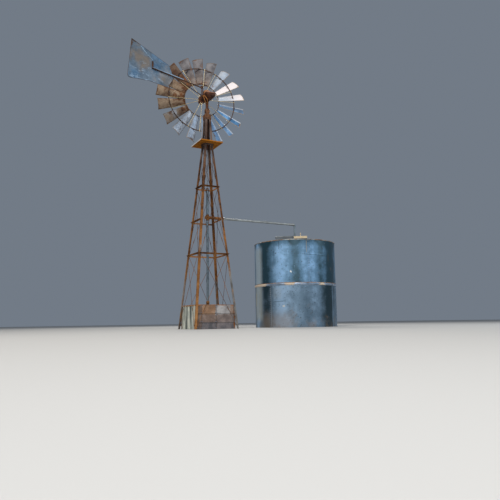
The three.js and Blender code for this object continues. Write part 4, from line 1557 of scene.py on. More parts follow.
def addMast():
    given = capSet
    low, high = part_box("mast_pipe")
    outer, bore = high.x, 0.027
    form = bmesh.new()
    turnInto(form, washer(bore, outer, low.z, high.z, 0.002), 40, closed=True)
    makePiece(form, "mastPipe", "casting", "stand", ["mast_pipe"])

    low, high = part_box("mast_cap")
    half, shoulder = high.x, given["shoulder"]
    square = [(-1, -1), (1, -1), (1, 1), (-1, 1)]
    inside = half - given["sheet"]
    opening = outer + 0.0006
    rings = [
        (half, low.z), (half, shoulder - 0.002), (half - 0.002, shoulder), (opening, shoulder),
        (opening, legTop + 0.0006), (inside, legTop + 0.0006), (inside, low.z),
    ]
    form = bmesh.new()
    loftInto(form, [[(x * size, y * size, z) for x, y in square] for size, z in rings], closed=True)
    soften(form, 0.003)
    levels = [(size, z, given["squareness"]) for size, z in given["knuckle"]]
    levels += [(opening, z, 2.0) for z in (high.z - 0.0005, shoulder)]
    loftInto(form, [roundedRing(z, r, r, r, -r, power, 40) for r, z, power in levels], closed=True)
    makePiece(form, "mastCap", "capSteel", "stand", ["mast_cap"])
    for side in sides:
        turn = sideTurn(side)
        for x in (-0.045, 0.045):
            for z in (low.z + 0.035, shoulder - 0.03):
                fasten("stand", "bolt", (x, -half, z), (0, -1, 0), turn)


# Head: it turns on the mast. Its frame has the wheel towards +Y
spin = joints["wheel_spin"]
furl = joints["tail_furl"]
hubCentre = Vector(spin["pos_m"])
shaftWay = Vector(spin["axis"]).normalized()
headYaw = math.atan2(-shaftWay.x, shaftWay.y)
headTurn = Matrix.Rotation(headYaw, 4, "Z")
caseSet = {
    # Height, left, right, front, back and squareness of each level
    "bowl": (
        (6.0453, 0.040, 0.028, 0.034, -0.075, 2.6),
        (6.0600, 0.052, 0.032, 0.036, -0.120, 2.6),
        (6.0850, 0.070, 0.040, 0.036, -0.190, 2.8),
        (6.1050, 0.085, 0.054, 0.042, -0.230, 2.8),
        (6.1250, 0.099, 0.082, 0.058, -0.258, 3.0),
        (6.1500, 0.112, 0.128, 0.088, -0.278, 3.2),
        (6.1750, 0.119, 0.160, 0.112, -0.287, 3.6),
        (6.2000, 0.123, 0.171, 0.124, -0.290, 4.0),
        (6.2360, 0.125, 0.174, 0.127, -0.293, 4.2),
    ),
    # Height and inset of the rim's section
    "rim": (
        (6.2235, 0.012), (6.2235, 0.001), (6.2265, 0.0), (6.2440, 0.0), (6.2480, 0.003), (6.2480, 0.012),
    ),
    "rimReach": (0.130, 0.180, 0.132, -0.300),
    "hood": (
        (6.2380, 0.115, 0.083, 0.119, -0.171, 3.4),
        (6.2700, 0.114, 0.080, 0.118, -0.157, 3.4),
        (6.3300, 0.109, 0.071, 0.115, -0.120, 3.2),
        (6.3650, 0.097, 0.058, 0.104, -0.092, 3.0),
        (6.3850, 0.083, 0.044, 0.092, -0.070, 2.8),
        (6.3930, 0.066, 0.030, 0.074, -0.050, 2.6),
        (6.3950, 0.046, 0.014, 0.052, -0.028, 2.4),
    ),
    "power": 4.2,
    "points": 48,
    "ribs": 18,
    "ribHeights": (6.108, 6.140, 6.180, 6.218),
    "ribRadius": 0.0045,
    "rearCover": (0.024, -0.282, 6.172),
    "filler": (-0.016, -0.150, 6.275),
    "bore": 0.0225,
    "boss": 0.046,
    "bossStart": 0.0903,
    "bossEnd": 0.4303,
}


def caseRing(height, left, right, front, back, power, points=caseSet["points"]):
    return [headTurn @ point for point in roundedRing(height, left, right, front, back, power, points)]


def rimRing(height, inset, points=caseSet["points"]):
    left, right, front, back = caseSet["rimReach"]
    reach = (left - inset, right - inset, front - inset, back + inset)
    return caseRing(height, *reach, caseSet["power"], points)


def shaftPlace():
    across = headTurn.to_3x3() @ Vector((1, 0, 0))
    back = -shaftWay
    up = back.cross(across)
    place = Matrix((across, up, back)).transposed().to_4x4()
    place.translation = hubCentre
    return place


wheelPlace = shaftPlace()


def addHead():
    given = caseSet
    low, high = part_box("turntable")
    radius = (high.x - low.x) / 2
    bore = 0.0365
    form = bmesh.new()
    turnInto(form, [
        (bore, low.z), (radius, low.z), (radius, low.z + 0.026), (radius - 0.003, low.z + 0.030),
        (radius - 0.003, high.z - 0.024), (radius, high.z - 0.020), (radius, high.z), (bore, high.z),
    ], 40, closed=True)
    makePiece(form, "turntableBody", "casting", "head", ["turntable"])

    form = bmesh.new()
    loftInto(form, [caseRing(*section) for section in given["bowl"]])
    boss, start, end = given["boss"], given["bossStart"], given["bossEnd"]
    turnInto(form, [
        (given["bore"], start), (boss - 0.004, start), (boss, start + 0.004), (boss, start + 0.022),
        (boss - 0.009, start + 0.030), (boss - 0.009, start + 0.150), (boss - 0.003, start + 0.170),
        (boss - 0.003, start + 0.205), (boss, start + 0.215), (boss, end), (given["bore"], end),
    ], 36, wheelPlace, closed=True)
    for angle in anglesOf(given["ribs"], 0.5):
        line = [headTurn @ roundedPoint(angle, z, *bowlLevel(z)) for z in given["ribHeights"]]
        for foot, crown in zip(line, line[1:]):
            barInto(form, foot, crown, given["ribRadius"], 6)
    cover = headTurn @ Matrix.Translation(given["rearCover"]) @ turned(90, "X")
    profile = [(0, 0), (0.022, 0), (0.022, 0.010), (0.018, 0.014), (0.008, 0.016), (0, 0.016)]
    turnInto(form, profile, 6, cover)
    makePiece(form, "gearCase", "casting", "head", ["gear_case"], 40)

    form = bmesh.new()
    loftInto(form, [rimRing(z, inset) for z, inset in given["rim"]], closed=True)
    makePiece(form, "caseRim", "rimIron", "head")
    for point in rimRing(given["rim"][-1][0], 0.0075, 16):
        fasten("head", "smallBolt", point, (0, 0, 1))
    form = bmesh.new()
    loftInto(form, [caseRing(*section) for section in given["hood"]])
    filler = headTurn @ Matrix.Translation(given["filler"]) @ turned(62, "X")
    turnInto(form, [(0, 0), (0.016, 0), (0.016, 0.010), (0.010, 0.013), (0, 0.013)], 16, filler)
    makePiece(form, "caseHood", "hood", "head")


# Two curved straps from the tail bracket's side of the case down to the neck
strapSet = {
    "width": 0.022,
    "thickness": 0.006,
    "steps": 6,
    "runs": (
        (
            (-0.146, -0.085, 6.216), (-0.123, -0.092, 6.168), (-0.097, -0.082, 6.107),
            (-0.062, -0.062, 6.056), (-0.032, -0.046, 6.018),
        ),
        (
            (-0.126, -0.120, 6.198), (-0.108, -0.188, 6.138), (-0.050, -0.172, 6.080),
            (-0.010, -0.088, 6.045), (0.020, -0.048, 6.018),
        ),
    ),
}


def bowlLevel(height):
    sections = caseSet["bowl"]
    for below, above in zip(sections, sections[1:]):
        if height <= above[0]:
            break
    share = (height - below[0]) / (above[0] - below[0])
    return [b + (a - b) * share for b, a in zip(below[1:], above[1:])]


def outsideBowl(point):
    # A point of a strap that would be inside the bowl comes out to its surface
    if point.z < caseSet["bowl"][0][0]:
        return point
    left, right, front, back, power = bowlLevel(point.z)
    middle, reach = (front + back) / 2, (front - back) / 2
    across = abs(point.x) / (left if point.x < 0 else right)
    size = across ** power + (abs(point.y - middle) / reach) ** power
    push = max(1.0, size ** (-1 / power))
    return Vector((point.x * push, middle + (point.y - middle) * push, point.z))


# A smooth line through points
def curved(points, steps):
    given = [Vector(point) for point in points]
    line = []
    for i in range(len(given) - 1):
        before, here = given[max(0, i - 1)], given[i]
        after, beyond = given[i + 1], given[min(len(given) - 1, i + 2)]
        for step in range(steps):
            t = step / steps
            bend = (2 * before - 5 * here + 4 * after - beyond) * t * t
            twist = (3 * here - before - 3 * after + beyond) * t ** 3
            line.append(0.5 * (2 * here + (after - before) * t + bend + twist))
    return line + [given[-1]]


def addStraps():
    given = strapSet
    form = bmesh.new()
    for run in given["runs"]:
        line = [outsideBowl(point) for point in curved(run, given["steps"])]
        rings = []
        for i, point in enumerate(line):
            along = (line[min(len(line) - 1, i + 1)] - line[max(0, i - 1)]).normalized()
            rise = max(0.0, min(1.0, (point.z - 6.040) / 0.05))
            out = Vector((point.x * rise, (point.y + 0.03) * rise, -0.06)).normalized()
            out = (out - along * out.dot(along)).normalized()
            side = along.cross(out) * given["width"] / 2
            near, far = point + out * 0.001, point + out * (0.001 + given["thickness"])
            corners = (near - side, near + side, far + side, far - side)
            rings.append([headTurn @ corner for corner in corners])
        loftInto(form, rings)
    soften(form, 0.001, 1, 50)
    makePiece(form, "caseStraps", "strapGold", "head")


# Tail hinge: bracket, lugs and pin beside the case
hingeSet = {
    "pinRadius": 0.010,
    "lugHeight": 0.0235,
    "lugGap": 0.0005,
    "lugHalf": 0.024,
    "plate": 0.010,
    "eyeHeight": 0.040,
    "eyeRadius": 0.024,
    "braceHeight": 6.213,
    "boomHeight": 6.434,
}
pivot = headTurn.inverted() @ Vector((furl["pos_m"][0], furl["pos_m"][1], 0))


def addHinge():
    given = hingeSet
    low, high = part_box("tail_bracket")
    bottom, top = low.z, high.z
    caseSide = -0.1303
    form = bmesh.new()
    half = given["lugHalf"]
    face = caseSide - given["plate"]
    boxInto(form, (face, pivot.y - half, bottom), (caseSide, pivot.y + half, top), headTurn)
    soften(form, 0.0015)
    for start in (bottom, top - given["lugHeight"]):
        # A lug: flat where it meets the plate and round about the pin
        outline = [(face + 0.002, pivot.y - half), (face + 0.002, pivot.y + half)]
        for i in range(13):
            angle = math.radians(90 + 15 * i)
            outline.append((pivot.x + half * math.cos(angle), pivot.y + half * math.sin(angle)))
        ends = (start, start + given["lugHeight"])
        loftInto(form, [[headTurn @ Vector((x, y, z)) for x, y in outline] for z in ends])
    for z, size in ((bottom - 0.006, 0.016), (top, 0.016)):
        barInto(form, (pivot.x, pivot.y, z), (pivot.x, pivot.y, z + 0.006), size, 6, headTurn)
    barInto(form, (pivot.x, pivot.y, bottom), (pivot.x, pivot.y, top), given["pinRadius"], 20, headTurn)
    makePiece(form, "tailBracket", "casting", "head", ["tail_bracket"])
    for z in (bottom + 0.06, top - 0.06):
        fasten("head", "smallBolt", (face, pivot.y, z), (-1, 0, 0), headTurn)


addMast()
addHead()
addStraps()
addHinge()
print("Mast and head made")


# Wheel: blades, rings, arms and hub in the wheel's own frame, then placed on the shaft
wheelSet = {
    "tip": 1.270,
    "inner": 0.478,
    "tipChord": 0.303,
    "innerChord": 0.165,
    "bulge": 0.1,
    "pitch": -30.0,
    "thickness": 0.0018,
    "count": 18,
    "inSection": 3,
    "firstAngle": 173.7,
    # How far each blade is filmed with tan, and how bright its zinc is, its own tone together with painted
    # glint, from the left one round
    "film": (
        0.78, 0.80, 0.66, 0.42, 0.36, 0.34, 0.34, 0.30, 0.05,
        0.10, 0.08, 0.02, 0.38, 0.80, 0.90, 0.90, 0.92, 0.86,
    ),
    "toneAndGlint": (
        0.50, 0.48, 0.52, 0.42, 0.38, 0.36, 0.36, 0.40, 0.58,
        0.17, 0.89, 1.0, 0.50, 0.40, 0.30, 0.34, 0.36, 0.45,
    ),
    # How much painted sky reflection turns the face of each blade blue beside its one painted highlight
    # stripe
    "sky": (
        0.0, 0.0, 0.0, 0.10, 0.25, 0.30, 0.70, 0.78, 1.0,
        0.62, 0.20, 0.0, 0.12, 0.15, 0.0, 0.0, 0.0, 0.0,
    ),
    # How grey the film is towards the tip
    "ash": (0.0, 0.0, 0.15, 0.8, 1.0, 1.0, 1.0, 0.8, 0.5, 0.5, 0.6, 0.5, 0.9, 0.9, 0.9, 0.9, 0.1, 0.0),
    # How much painted shade darkens the film of each blade to dark brown
    "paintedShade": (
        0.18, 0.0, 0.0, 0.0, 0.0, 0.0, 0.0, 0.0, 0.0,
        0.22, 0.0, 0.0, 0.0, 0.0, 0.16, 0.16, 1.0, 0.12,
    ),
    "wobble": 0.014,
    "across": 14,
    "along": 16,
    # Radius, back face and thickness of each ring
    "rings": {"outer": (0.951, 0.066, 0.020), "inner": (0.504, 0.044, 0.012)},
    "ringDepth": 0.018,
    "armRadius": 0.006,
    "armReach": 0.972,
    "hubRadius": 0.074,
    "hubHalf": 0.090,
    "collar": 0.112,
    "collarHalf": 0.010,
    "shaft": 0.022,
    "shaftEnd": 0.372,
}


def bladeTemplate():
    # Drawn with x towards the tip, y along the chord and z backwards. Span and across go with it
    given = wheelSet
    wide, long = given["across"], given["along"]
    pitch = math.radians(given["pitch"])
    random.seed(4)
    points, span, across = [], [], []
    for row in range(long + 1):
        share = row / long
        radius = given["inner"] + (given["tip"] - given["inner"]) * share
        chord = given["innerChord"] + (given["tipChord"] - given["innerChord"]) * share
        for column in range(wide + 1):
            u = 2 * column / wide - 1
            curl = 0.006 * max(0.0, abs(u) - 0.86) / 0.14
            x = u * chord / 2
            wave = 0.0015 * noise.noise(Vector((u * 1.5, share * 4, 2.3)))
            y = given["bulge"] * chord * (1 - u * u) - curl + wave
            tangent = x * math.cos(pitch) - y * math.sin(pitch)
            back = x * math.sin(pitch) + y * math.cos(pitch)
            points.append((radius, tangent, back))
            span.append(share)
            across.append(u)
    faces = []
    for row in range(long):
        for column in range(wide):
            a = row * (wide + 1) + column
            faces.append((a, a + 1, a + wide + 2, a + wide + 1))
    mesh = bpy.data.meshes.new("bladeTemplate")
    mesh.from_pydata(points, [], faces)
    pointValue(mesh, "span", span)
    pointValue(mesh, "across", across)
    blade = addObject("bladeTemplate", mesh)
    thicken(blade, given["thickness"], 0)
    blade.data = evaluated(blade)
    blade.modifiers.clear()
    return blade


def arcInto(form, radius, back, thickness, start, end, steps):
    inner, outer = radius - thickness / 2, radius + thickness / 2
    front = back - wheelSet["ringDepth"]
    rings = []
    for i in range(steps + 1):
        angle = start + (end - start) * i / steps
        section = ((inner, front), (outer, front), (outer, back), (inner, back))
        rings.append([around(r, angle, z) for r, z in section])
    loftInto(form, rings)


def clipInto(form, radius, back, thickness, angle):
    # A folded clip that ties one blade to a ring
    seat = Matrix.Rotation(angle, 4, "Z")
    inner, outer = radius - thickness / 2 - 0.008, radius + thickness / 2 + 0.0032
    boxInto(form, (inner, -0.020, back - 0.0215), (outer, 0.020, back - 0.0185), seat)
    boxInto(form, (outer - 0.0028, -0.020, back - 0.0182), (outer, 0.020, back + 0.001), seat)


def addWheel():
    given = wheelSet
    step = 2 * math.pi / given["count"]
    first = math.radians(given["firstAngle"])
    blade = bladeTemplate()
    inSection = given["inSection"]
    sections = given["count"] // inSection
    for section in range(sections):
        name = f"wheelSection{section + 1}"
        numbers = range(section * inSection, (section + 1) * inSection)
        spots = bpy.data.meshes.new(name + "Spots")
        spots.from_pydata([(0, 0, 0)] * inSection, [], [])
        pointValue(spots, "turn", [first + number * step for number in numbers])
        for kind in ("film", "toneAndGlint", "sky", "ash", "paintedShade"):
            pointValue(spots, kind, [given[kind][number] for number in numbers])
        inputs = {"Template": blade, "Wobble": given["wobble"], "Seed": 5 + section}
        node = f"wheel_section_{section + 1}"
        grow(name, "round", "blade", inputs, "wheel", [node], spots, wheelPlace)
    bpy.data.objects.remove(blade)

    form = bmesh.new()
    for radius, back, thickness in given["rings"].values():
        face = radius - thickness / 2
        for section in range(sections):
            start = first + (section * inSection - 0.5) * step
            end = start + inSection * step
            arcInto(form, radius, back, thickness, start + 0.0002, end - 0.0002, 18)
            # The lap plate where two lengths of ring meet
            seat = Matrix.Rotation(start, 4, "Z")
            boxInto(form, (face - 0.0035, -0.045, back - 0.017), (face - 0.0002, 0.045, back - 0.001), seat)
    soften(form, 0.0012, 1, 50)
    for ring in given["rings"].values():
        for i in range(given["count"]):
            clipInto(form, *ring, first + i * step)
    makePiece(form, "wheelRings", "ringIron", "wheel", place=wheelPlace)

    outerRadius, outerBack, outerThickness = given["rings"]["outer"]
    outerFace = outerRadius - outerThickness / 2
    innerRadius = given["rings"]["inner"][0]
    armHeight = outerBack + 0.0003 + given["armRadius"]
    collar = given["collar"]
    parts = [
        (collar - 0.01, given["armReach"], given["armRadius"], 10),
        (collar - 0.002, collar + 0.014, 0.011, 6),
        (outerFace - 0.011, outerFace - 0.002, 0.010, 6),
        (outerFace + outerThickness + 0.002, outerFace + outerThickness + 0.010, 0.010, 6),
        (innerRadius - 0.007, innerRadius + 0.007, 0.009, 6),
    ]
    form = bmesh.new()
    for section in range(sections):
        middle = first + (section * inSection + 1) * step
        for side in (-0.5, 0.5):
            turn = Matrix.Rotation(middle + side * step, 4, "Z")
            for start, end, size, count in parts:
                barInto(form, (start, 0, armHeight), (end, 0, armHeight), size, count, turn)
    makePiece(form, "wheelArms", "spokeSteel", "wheel", ["wheel_arms"], place=wheelPlace)

    form = bmesh.new()
    hub, half, thick = given["hubRadius"], given["hubHalf"], given["collarHalf"]
    plate = washer(hub + 0.0004, collar, armHeight - thick, armHeight + thick, 0.003)
    turnInto(form, plate, 44, closed=True)
    turnInto(form, [
        (0, -half - 0.020), (0.012, -half - 0.020), (0.022, -half - 0.012), (0.022, -half - 0.004),
        (0.034, -half), (hub - 0.010, -half), (hub, -half + 0.008), (hub, -half + 0.026),
        (hub - 0.012, -half + 0.034), (hub - 0.012, half - 0.040), (hub, half - 0.032), (hub, half - 0.006),
        (hub - 0.006, half), (given["shaft"], half), (given["shaft"], given["shaftEnd"]),
        (0, given["shaftEnd"]),
    ], 44)
    makePiece(form, "wheelHub", "casting", "wheel", ["wheel_hub"], place=wheelPlace)
    away = wheelPlace.to_3x3() @ Vector((0, 0, 1))
    for i in range(12):
        turn = wheelPlace @ Matrix.Rotation(first + i * math.pi / 6, 4, "Z")
        fasten("wheel", "smallBolt", turn @ Vector((0.093, 0, armHeight + thick)), away)
        fasten("wheel", "smallBolt", turn @ Vector((0.093, 0, armHeight - thick)), -away)
    for i in range(6):
        turn = wheelPlace @ Matrix.Rotation(i * math.pi / 3, 4, "Z")
        fasten("wheel", "smallBolt", turn @ Vector((0.050, 0, -half)), -away)
    for i in range(given["count"]):
        turn = wheelPlace @ Matrix.Rotation(first + i * step, 4, "Z")
        for radius, back, thickness in given["rings"].values():
            for side in (-0.013, 0.013):
                spot = Vector((radius - thickness / 2 - 0.004, side, back - 0.0185))
                fasten("wheel", "rivet", turn @ spot, away)


addWheel()
print("Wheel made")


# Tail: boom, brace and vane, drawn along +X from the pin
tailSet = {
    "angle": -156.7,
    "boomRadius": 0.016,
    "boomEnd": 1.590,
    "braceRadius": 0.012,
    "braceJoin": 0.941,
    "strutTop": 0.185,
    "sheet": 0.0022,
    "outline": ((0.915, 6.398), (1.112, 6.085), (1.655, 6.076), (2.222, 5.984)),
    "backTurn": ((2.310, 5.974), (2.301, 6.064)),
    "backTop": (2.200, 6.996),
    "frontTop": (1.065, 6.690),
    "lap": ((1.065, 6.690), (1.577, 6.644), (1.778, 6.770), (1.938, 6.902)),
    # Stains on the vane: place, size and strength
    "tan": ((1.98, 6.60, 0.50, 0.33), (1.24, 6.25, 0.12, 0.30)),
    "grey": ((1.98, 6.46, 0.34, 0.30), (1.18, 6.28, 0.40, 0.48), (1.50, 6.20, 0.24, 0.28)),
    "blue": ((1.42, 6.52, 0.40, 0.36), (2.10, 6.16, 0.32, 0.40), (1.80, 6.30, 0.22, 0.22)),
    # Rust along the vane's edge, and more of it at its upper back corner: reach and strength
    "edgeRust": (0.05, 0.10),
    "cornerRust": (0.34, 0.26, 0.20),
    "bow": 0.006,
    "hem": 0.0045,
    "foldRadius": 0.010,
    "stripHeight": 0.022,
    "clamps": (1.08, 1.31, 1.50),
}
tailPlace = (
    Matrix.Translation((furl["pos_m"][0], furl["pos_m"][1], 0))
    @ headTurn
    @ turned(tailSet["angle"])
)


def vaneOutline():
    given = tailSet
    points = [Vector(point) for point in given["outline"]]
    start, (turn, end) = points[-1], given["backTurn"]
    for i in range(1, 7):
        t = i / 6
        points.append(start * (1 - t) ** 2 + Vector(turn) * 2 * t * (1 - t) + Vector(end) * t * t)
    return points + [Vector(given["backTop"]), Vector(given["frontTop"])]


def distanceToEdge(point, outline):
    best = 9.0
    for a, b in zip(outline, outline[1:] + outline[:1]):
        along = b - a
        share = max(0.0, min(1.0, (point - a).dot(along) / along.length_squared))
        best = min(best, (point - a - along * share).length)
    return best


def addVane():
    given = tailSet
    outline = vaneOutline()
    form = bmesh.new()
    face = form.faces.new([form.verts.new((p.x, 0, p.y)) for p in outline])
    bmesh.ops.triangulate(form, faces=[face])
    cuts = [((0.9 + 0.06 * i, 0, 0), (1, 0, 0)) for i in range(25)]
    cuts += [((0, 0, 5.98 + 0.06 * i), (0, 0, 1)) for i in range(17)]
    for spot, normal in cuts:
        parts = form.verts[:] + form.edges[:] + form.faces[:]
        bmesh.ops.bisect_plane(form, geom=parts, plane_co=spot, plane_no=normal)
    behind = -given["boomRadius"] - 0.0003
    for vert in form.verts:
        x, z = vert.co.x, vert.co.z
        near = min(1.0, 8 * abs(z - hingeSet["boomHeight"]))
        wave = abs(noise.noise(Vector((x * 2.1, 0.7, z * 2.3))))
        vert.co.y = behind - 0.0004 - given["bow"] * near * wave
    bmesh.ops.solidify(form, geom=form.faces[:], thickness=given["sheet"])
    piece = makePiece(form, "tailVane", "vane", "tail", ["tail_vane"], place=tailPlace)
    back = tailPlace.inverted()
    reach, rust = given["edgeRust"]
    cornerReach, cornerEdge, cornerFace = given["cornerRust"]
    edge = []
    stains = {"tan": [], "grey": [], "blue": []}
    for vert in piece.data.vertices:
        at = back @ vert.co
        point = Vector((at.x, at.z))
        near = max(0.0, 1 - distanceToEdge(point, outline) / reach)
        corner = max(0.0, 1 - (point - Vector(given["backTop"])).length / cornerReach)
        edge.append(rust * near + cornerEdge * near * (corner > 0) + cornerFace * corner ** 2)
        for kind, values in stains.items():
            shares = [(lift, math.hypot(at.x - x, at.z - z) / size) for x, z, size, lift in given[kind]]
            values.append(max(lift * max(0.0, 1 - away) for lift, away in shares))
    pointValue(piece.data, "edge", edge)
    for kind, values in stains.items():
        pointValue(piece.data, kind, values)

    # Rolled hem round the vane, the lap plate along its top, painted highlights as pale bars along its fold
    # and a pale strip on the boom's top, and rivets
    centre = behind - given["sheet"] / 2
    middle = Vector((1.65, 6.45))
    form = bmesh.new()
    for a, b in zip(outline, outline[1:] + outline[:1]):
        a, b = [p + (middle - p).normalized() * 0.006 for p in (a, b)]
        barInto(form, (a.x, centre, a.y), (b.x, centre, b.y), given["hem"], 8)
    makePiece(form, "vaneHem", "boomSteel", "tail", place=tailPlace)
    lap = [Vector(p) for p in given["lap"]]
    backTop, frontTop = Vector(given["backTop"]), Vector(given["frontTop"])
    plate = [(p.x, p.y) for p in lap + [backTop + (frontTop - backTop) * 0.22]]
    form = bmesh.new()
    loftInto(form, [[(x, y, z) for x, z in plate] for y in (behind + 0.0002, behind + 0.0024)])
    soften(form, 0.0008, 1)
    piece = makePiece(form, "vaneLap", "vane", "tail", place=tailPlace)
    pointValue(piece.data, "blue", [0.22] * len(piece.data.vertices))
    # Painted highlight: pale bars along the lap's fold and a pale strip along the top of the boom
    form = bmesh.new()
    for a, b in zip(lap[1:], lap[2:]):
        barInto(form, (a.x, behind + 0.003, a.y), (b.x, behind + 0.003, b.y), given["foldRadius"], 8)
    boomTop = hingeSet["boomHeight"] + given["boomRadius"]
    seat = (-0.006, boomTop - 0.004)
    crest = seat[1] + given["stripHeight"]
    highlightOutline = [(seat[0], seat[1]), (0.008, seat[1]), (0.008, crest), (seat[0], crest)]
    prismInto(form, highlightOutline, 0.62, given["boomEnd"])
    makePiece(form, "boomStrip", "highlightZinc", "tail", place=tailPlace)
    for a, b, shares in ((lap[0], lap[1], (0.08, 0.3, 0.55, 0.8)), (lap[1], lap[3], (0.2, 0.5, 0.8))):
        for share in shares:
            low = a + (b - a) * share
            spot = (low.x - 0.006, behind + 0.0024, low.y + 0.014)
            fasten("tail", "rivet", spot, (0, 1, 0), tailPlace)


def addTail():
    given = tailSet
    hinge = hingeSet
    boomZ, braceZ = hinge["boomHeight"], hinge["braceHeight"]
    hole = 0.0104
    form = bmesh.new()
    for z in (braceZ, boomZ):
        bottom, top = z - hinge["eyeHeight"] / 2 + hinge["lugGap"], z + hinge["eyeHeight"] / 2
        turnInto(form, washer(hole, hinge["eyeRadius"], bottom, top, 0.002), 32, closed=True)
    barInto(form, (0.018, 0, boomZ), (given["boomEnd"], 0, boomZ), given["boomRadius"], 20)
    barInto(form, (0.018, 0, braceZ + 0.004), (given["braceJoin"], 0, boomZ), given["braceRadius"], 16)
    end = given["boomEnd"]
    strut = [
        (-0.015, -0.012), (0.015, -0.012), (0.015, -0.007), (-0.010, -0.007), (-0.010, 0.012),
        (-0.015, 0.012),
    ]
    ends = (boomZ - 0.018, boomZ + given["strutTop"])
    loftInto(form, [[(end + x, y, z) for x, y in strut] for z in ends])
    # Clamps that hold the boom to the vane
    radius = given["boomRadius"]
    seat = Matrix.Translation((0, 0, boomZ)) @ turned(90, "Y")
    for x in given["clamps"]:
        start, end = x - 0.013, x + 0.013
        boxInto(form, (start, -radius - 0.0002, boomZ - 0.034), (end, -radius + 0.004, boomZ + 0.034))
        inner, outer = radius - 0.001, radius + 0.003
        turnInto(form, [(inner, start), (outer, start), (outer, end), (inner, end)], 20, seat, closed=True)
        for rise in (-0.026, 0.026):
            fasten("tail", "smallBolt", (x, -radius + 0.004, boomZ + rise), (0, 1, 0), tailPlace)
    makePiece(form, "tailBoom", "boomSteel", "tail", ["tail_boom"], place=tailPlace)
    addVane()


addTail()
print("Tail made")


# Tank: two courses of wrapped sheet with riveted laps, a rolled band, rim, roof, kerb and covers
tankSet = {
    "sheet": 0.0028,
    "bandRivets": 72,
    # Stains on the band: angle round the tank, half width and strength
    "bandStains": ((175, 30, 0.62), (-129, 9, 0.50), (-83, 8, 0.36)),
    "lowerSeam": -158.5,
    "upperSeam": -103.5,
    "inCourse": 3,
    "lapWidth": 0.042,
    "lapStand": 0.0022,
    "rivetStep": 0.052,
    "dent": 0.016,
    "dentScale": 1.3,
    "sheetGrid": (110, 54),
    "roofGrid": (96, 14),
    "roofSag": 0.006,
    "roofSheet": 0.0025,
    "roofSeams": 12,
    "seamStep": 0.12,
    "roofDrop": 0.006,
    "roofRise": 0.110,
}
bandLow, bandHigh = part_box("tank_band")
rimLow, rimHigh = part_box("tank_rim")
tankCentre = Vector(((bandLow.x + bandHigh.x) / 2, (bandLow.y + bandHigh.y) / 2, 0))
tankRadius = (rimHigh.x - rimLow.x) / 2 - 0.006
tankPlace = Matrix.Translation(tankCentre)


def lapInto(form, angle, bottom, top):
    given = tankSet
    width = given["lapWidth"] / tankRadius
    face = tankRadius + given["lapStand"]
    steps = 3
    outer = [(face, angle - width / 2 + width * i / steps) for i in range(steps + 1)]
    inner = [(tankRadius + 0.0003, angle + width / 2 - width * i / steps) for i in range(steps + 1)]
    loftInto(form, [[around(r, a, z) for r, a in outer + inner] for z in (bottom, top)])
    count = int((top - bottom - 0.04) / given["rivetStep"])
    for i in range(count + 1):
        z = bottom + 0.02 + (top - bottom - 0.04) * i / count
        for shift in (-0.011, 0.011):
            out = around(1, angle + shift / tankRadius)
            fasten("stand", "rivet", out * face + Vector((0, 0, z)), out, tankPlace)


def addTankWall():
    given = tankSet
    courses = [
        ("Lower", 0.0002, bandLow.z - 0.0003, given["lowerSeam"]),
        ("Upper", bandHigh.z + 0.0003, rimLow.z - 0.0003, given["upperSeam"]),
    ]
    laps = bmesh.new()
    for course, bottom, top, seam in courses:
        for i in range(given["inCourse"]):
            start = math.radians(seam + 360 / given["inCourse"] * i)
            end = start + 2 * math.pi / given["inCourse"] - 0.0003
            name = f"tank{course}Sheet{i + 1}"
            columns, rows = given["sheetGrid"]
            inputs = {
                "Radius": tankRadius - 0.0001, "From": start, "To": end, "Bottom": bottom, "Top": top,
                "Columns": columns, "Rows": rows,
                "Dent Depth": given["dent"], "Dent Scale": given["dentScale"],
                "Seed": 3.0 * i + (9.0 if course == "Upper" else 0.0),
            }
            node = f"tank_{course.lower()}_sheet_{i + 1}"
            grow(
                name, "wrap", "tankZinc", inputs, "stand", [node],
                turn=tankPlace, skin=given["sheet"],
            )
            lapInto(laps, start, bottom, top)
    makePiece(laps, "tankLaps", "tankZinc", "stand", place=tankPlace)


def ringOfSections(name, profile, finish, replaced, steps, waver, edgeValue, tanValue=lambda angle: 0.0):
    # A closed profile (radius, height) swept round the tank, with a small wave up and down
    form = bmesh.new()
    rings = []
    for angle in anglesOf(steps):
        sway = waver * noise.noise(around(3.1, angle, 5.0))
        rings.append([around(r, angle, z + sway * move) for r, z, move in profile])
    loftInto(form, rings, closed=True)
    piece = makePiece(form, name, finish, "stand", replaced, 50, place=tankPlace)
    pointValue(piece.data, "edge", [edgeValue(vert.co) for vert in piece.data.vertices])
    bearings = [math.degrees(math.atan2(*(vert.co - tankCentre).yx)) for vert in piece.data.vertices]
    pointValue(piece.data, "tan", [tanValue(bearing) for bearing in bearings])


def bandTan(angle):
    tan = 0.17
    for middle, half, strength in tankSet["bandStains"]:
        away = abs((angle - middle + 180) % 360 - 180)
        tan += strength * max(0.0, 1 - away / half)
    return tan


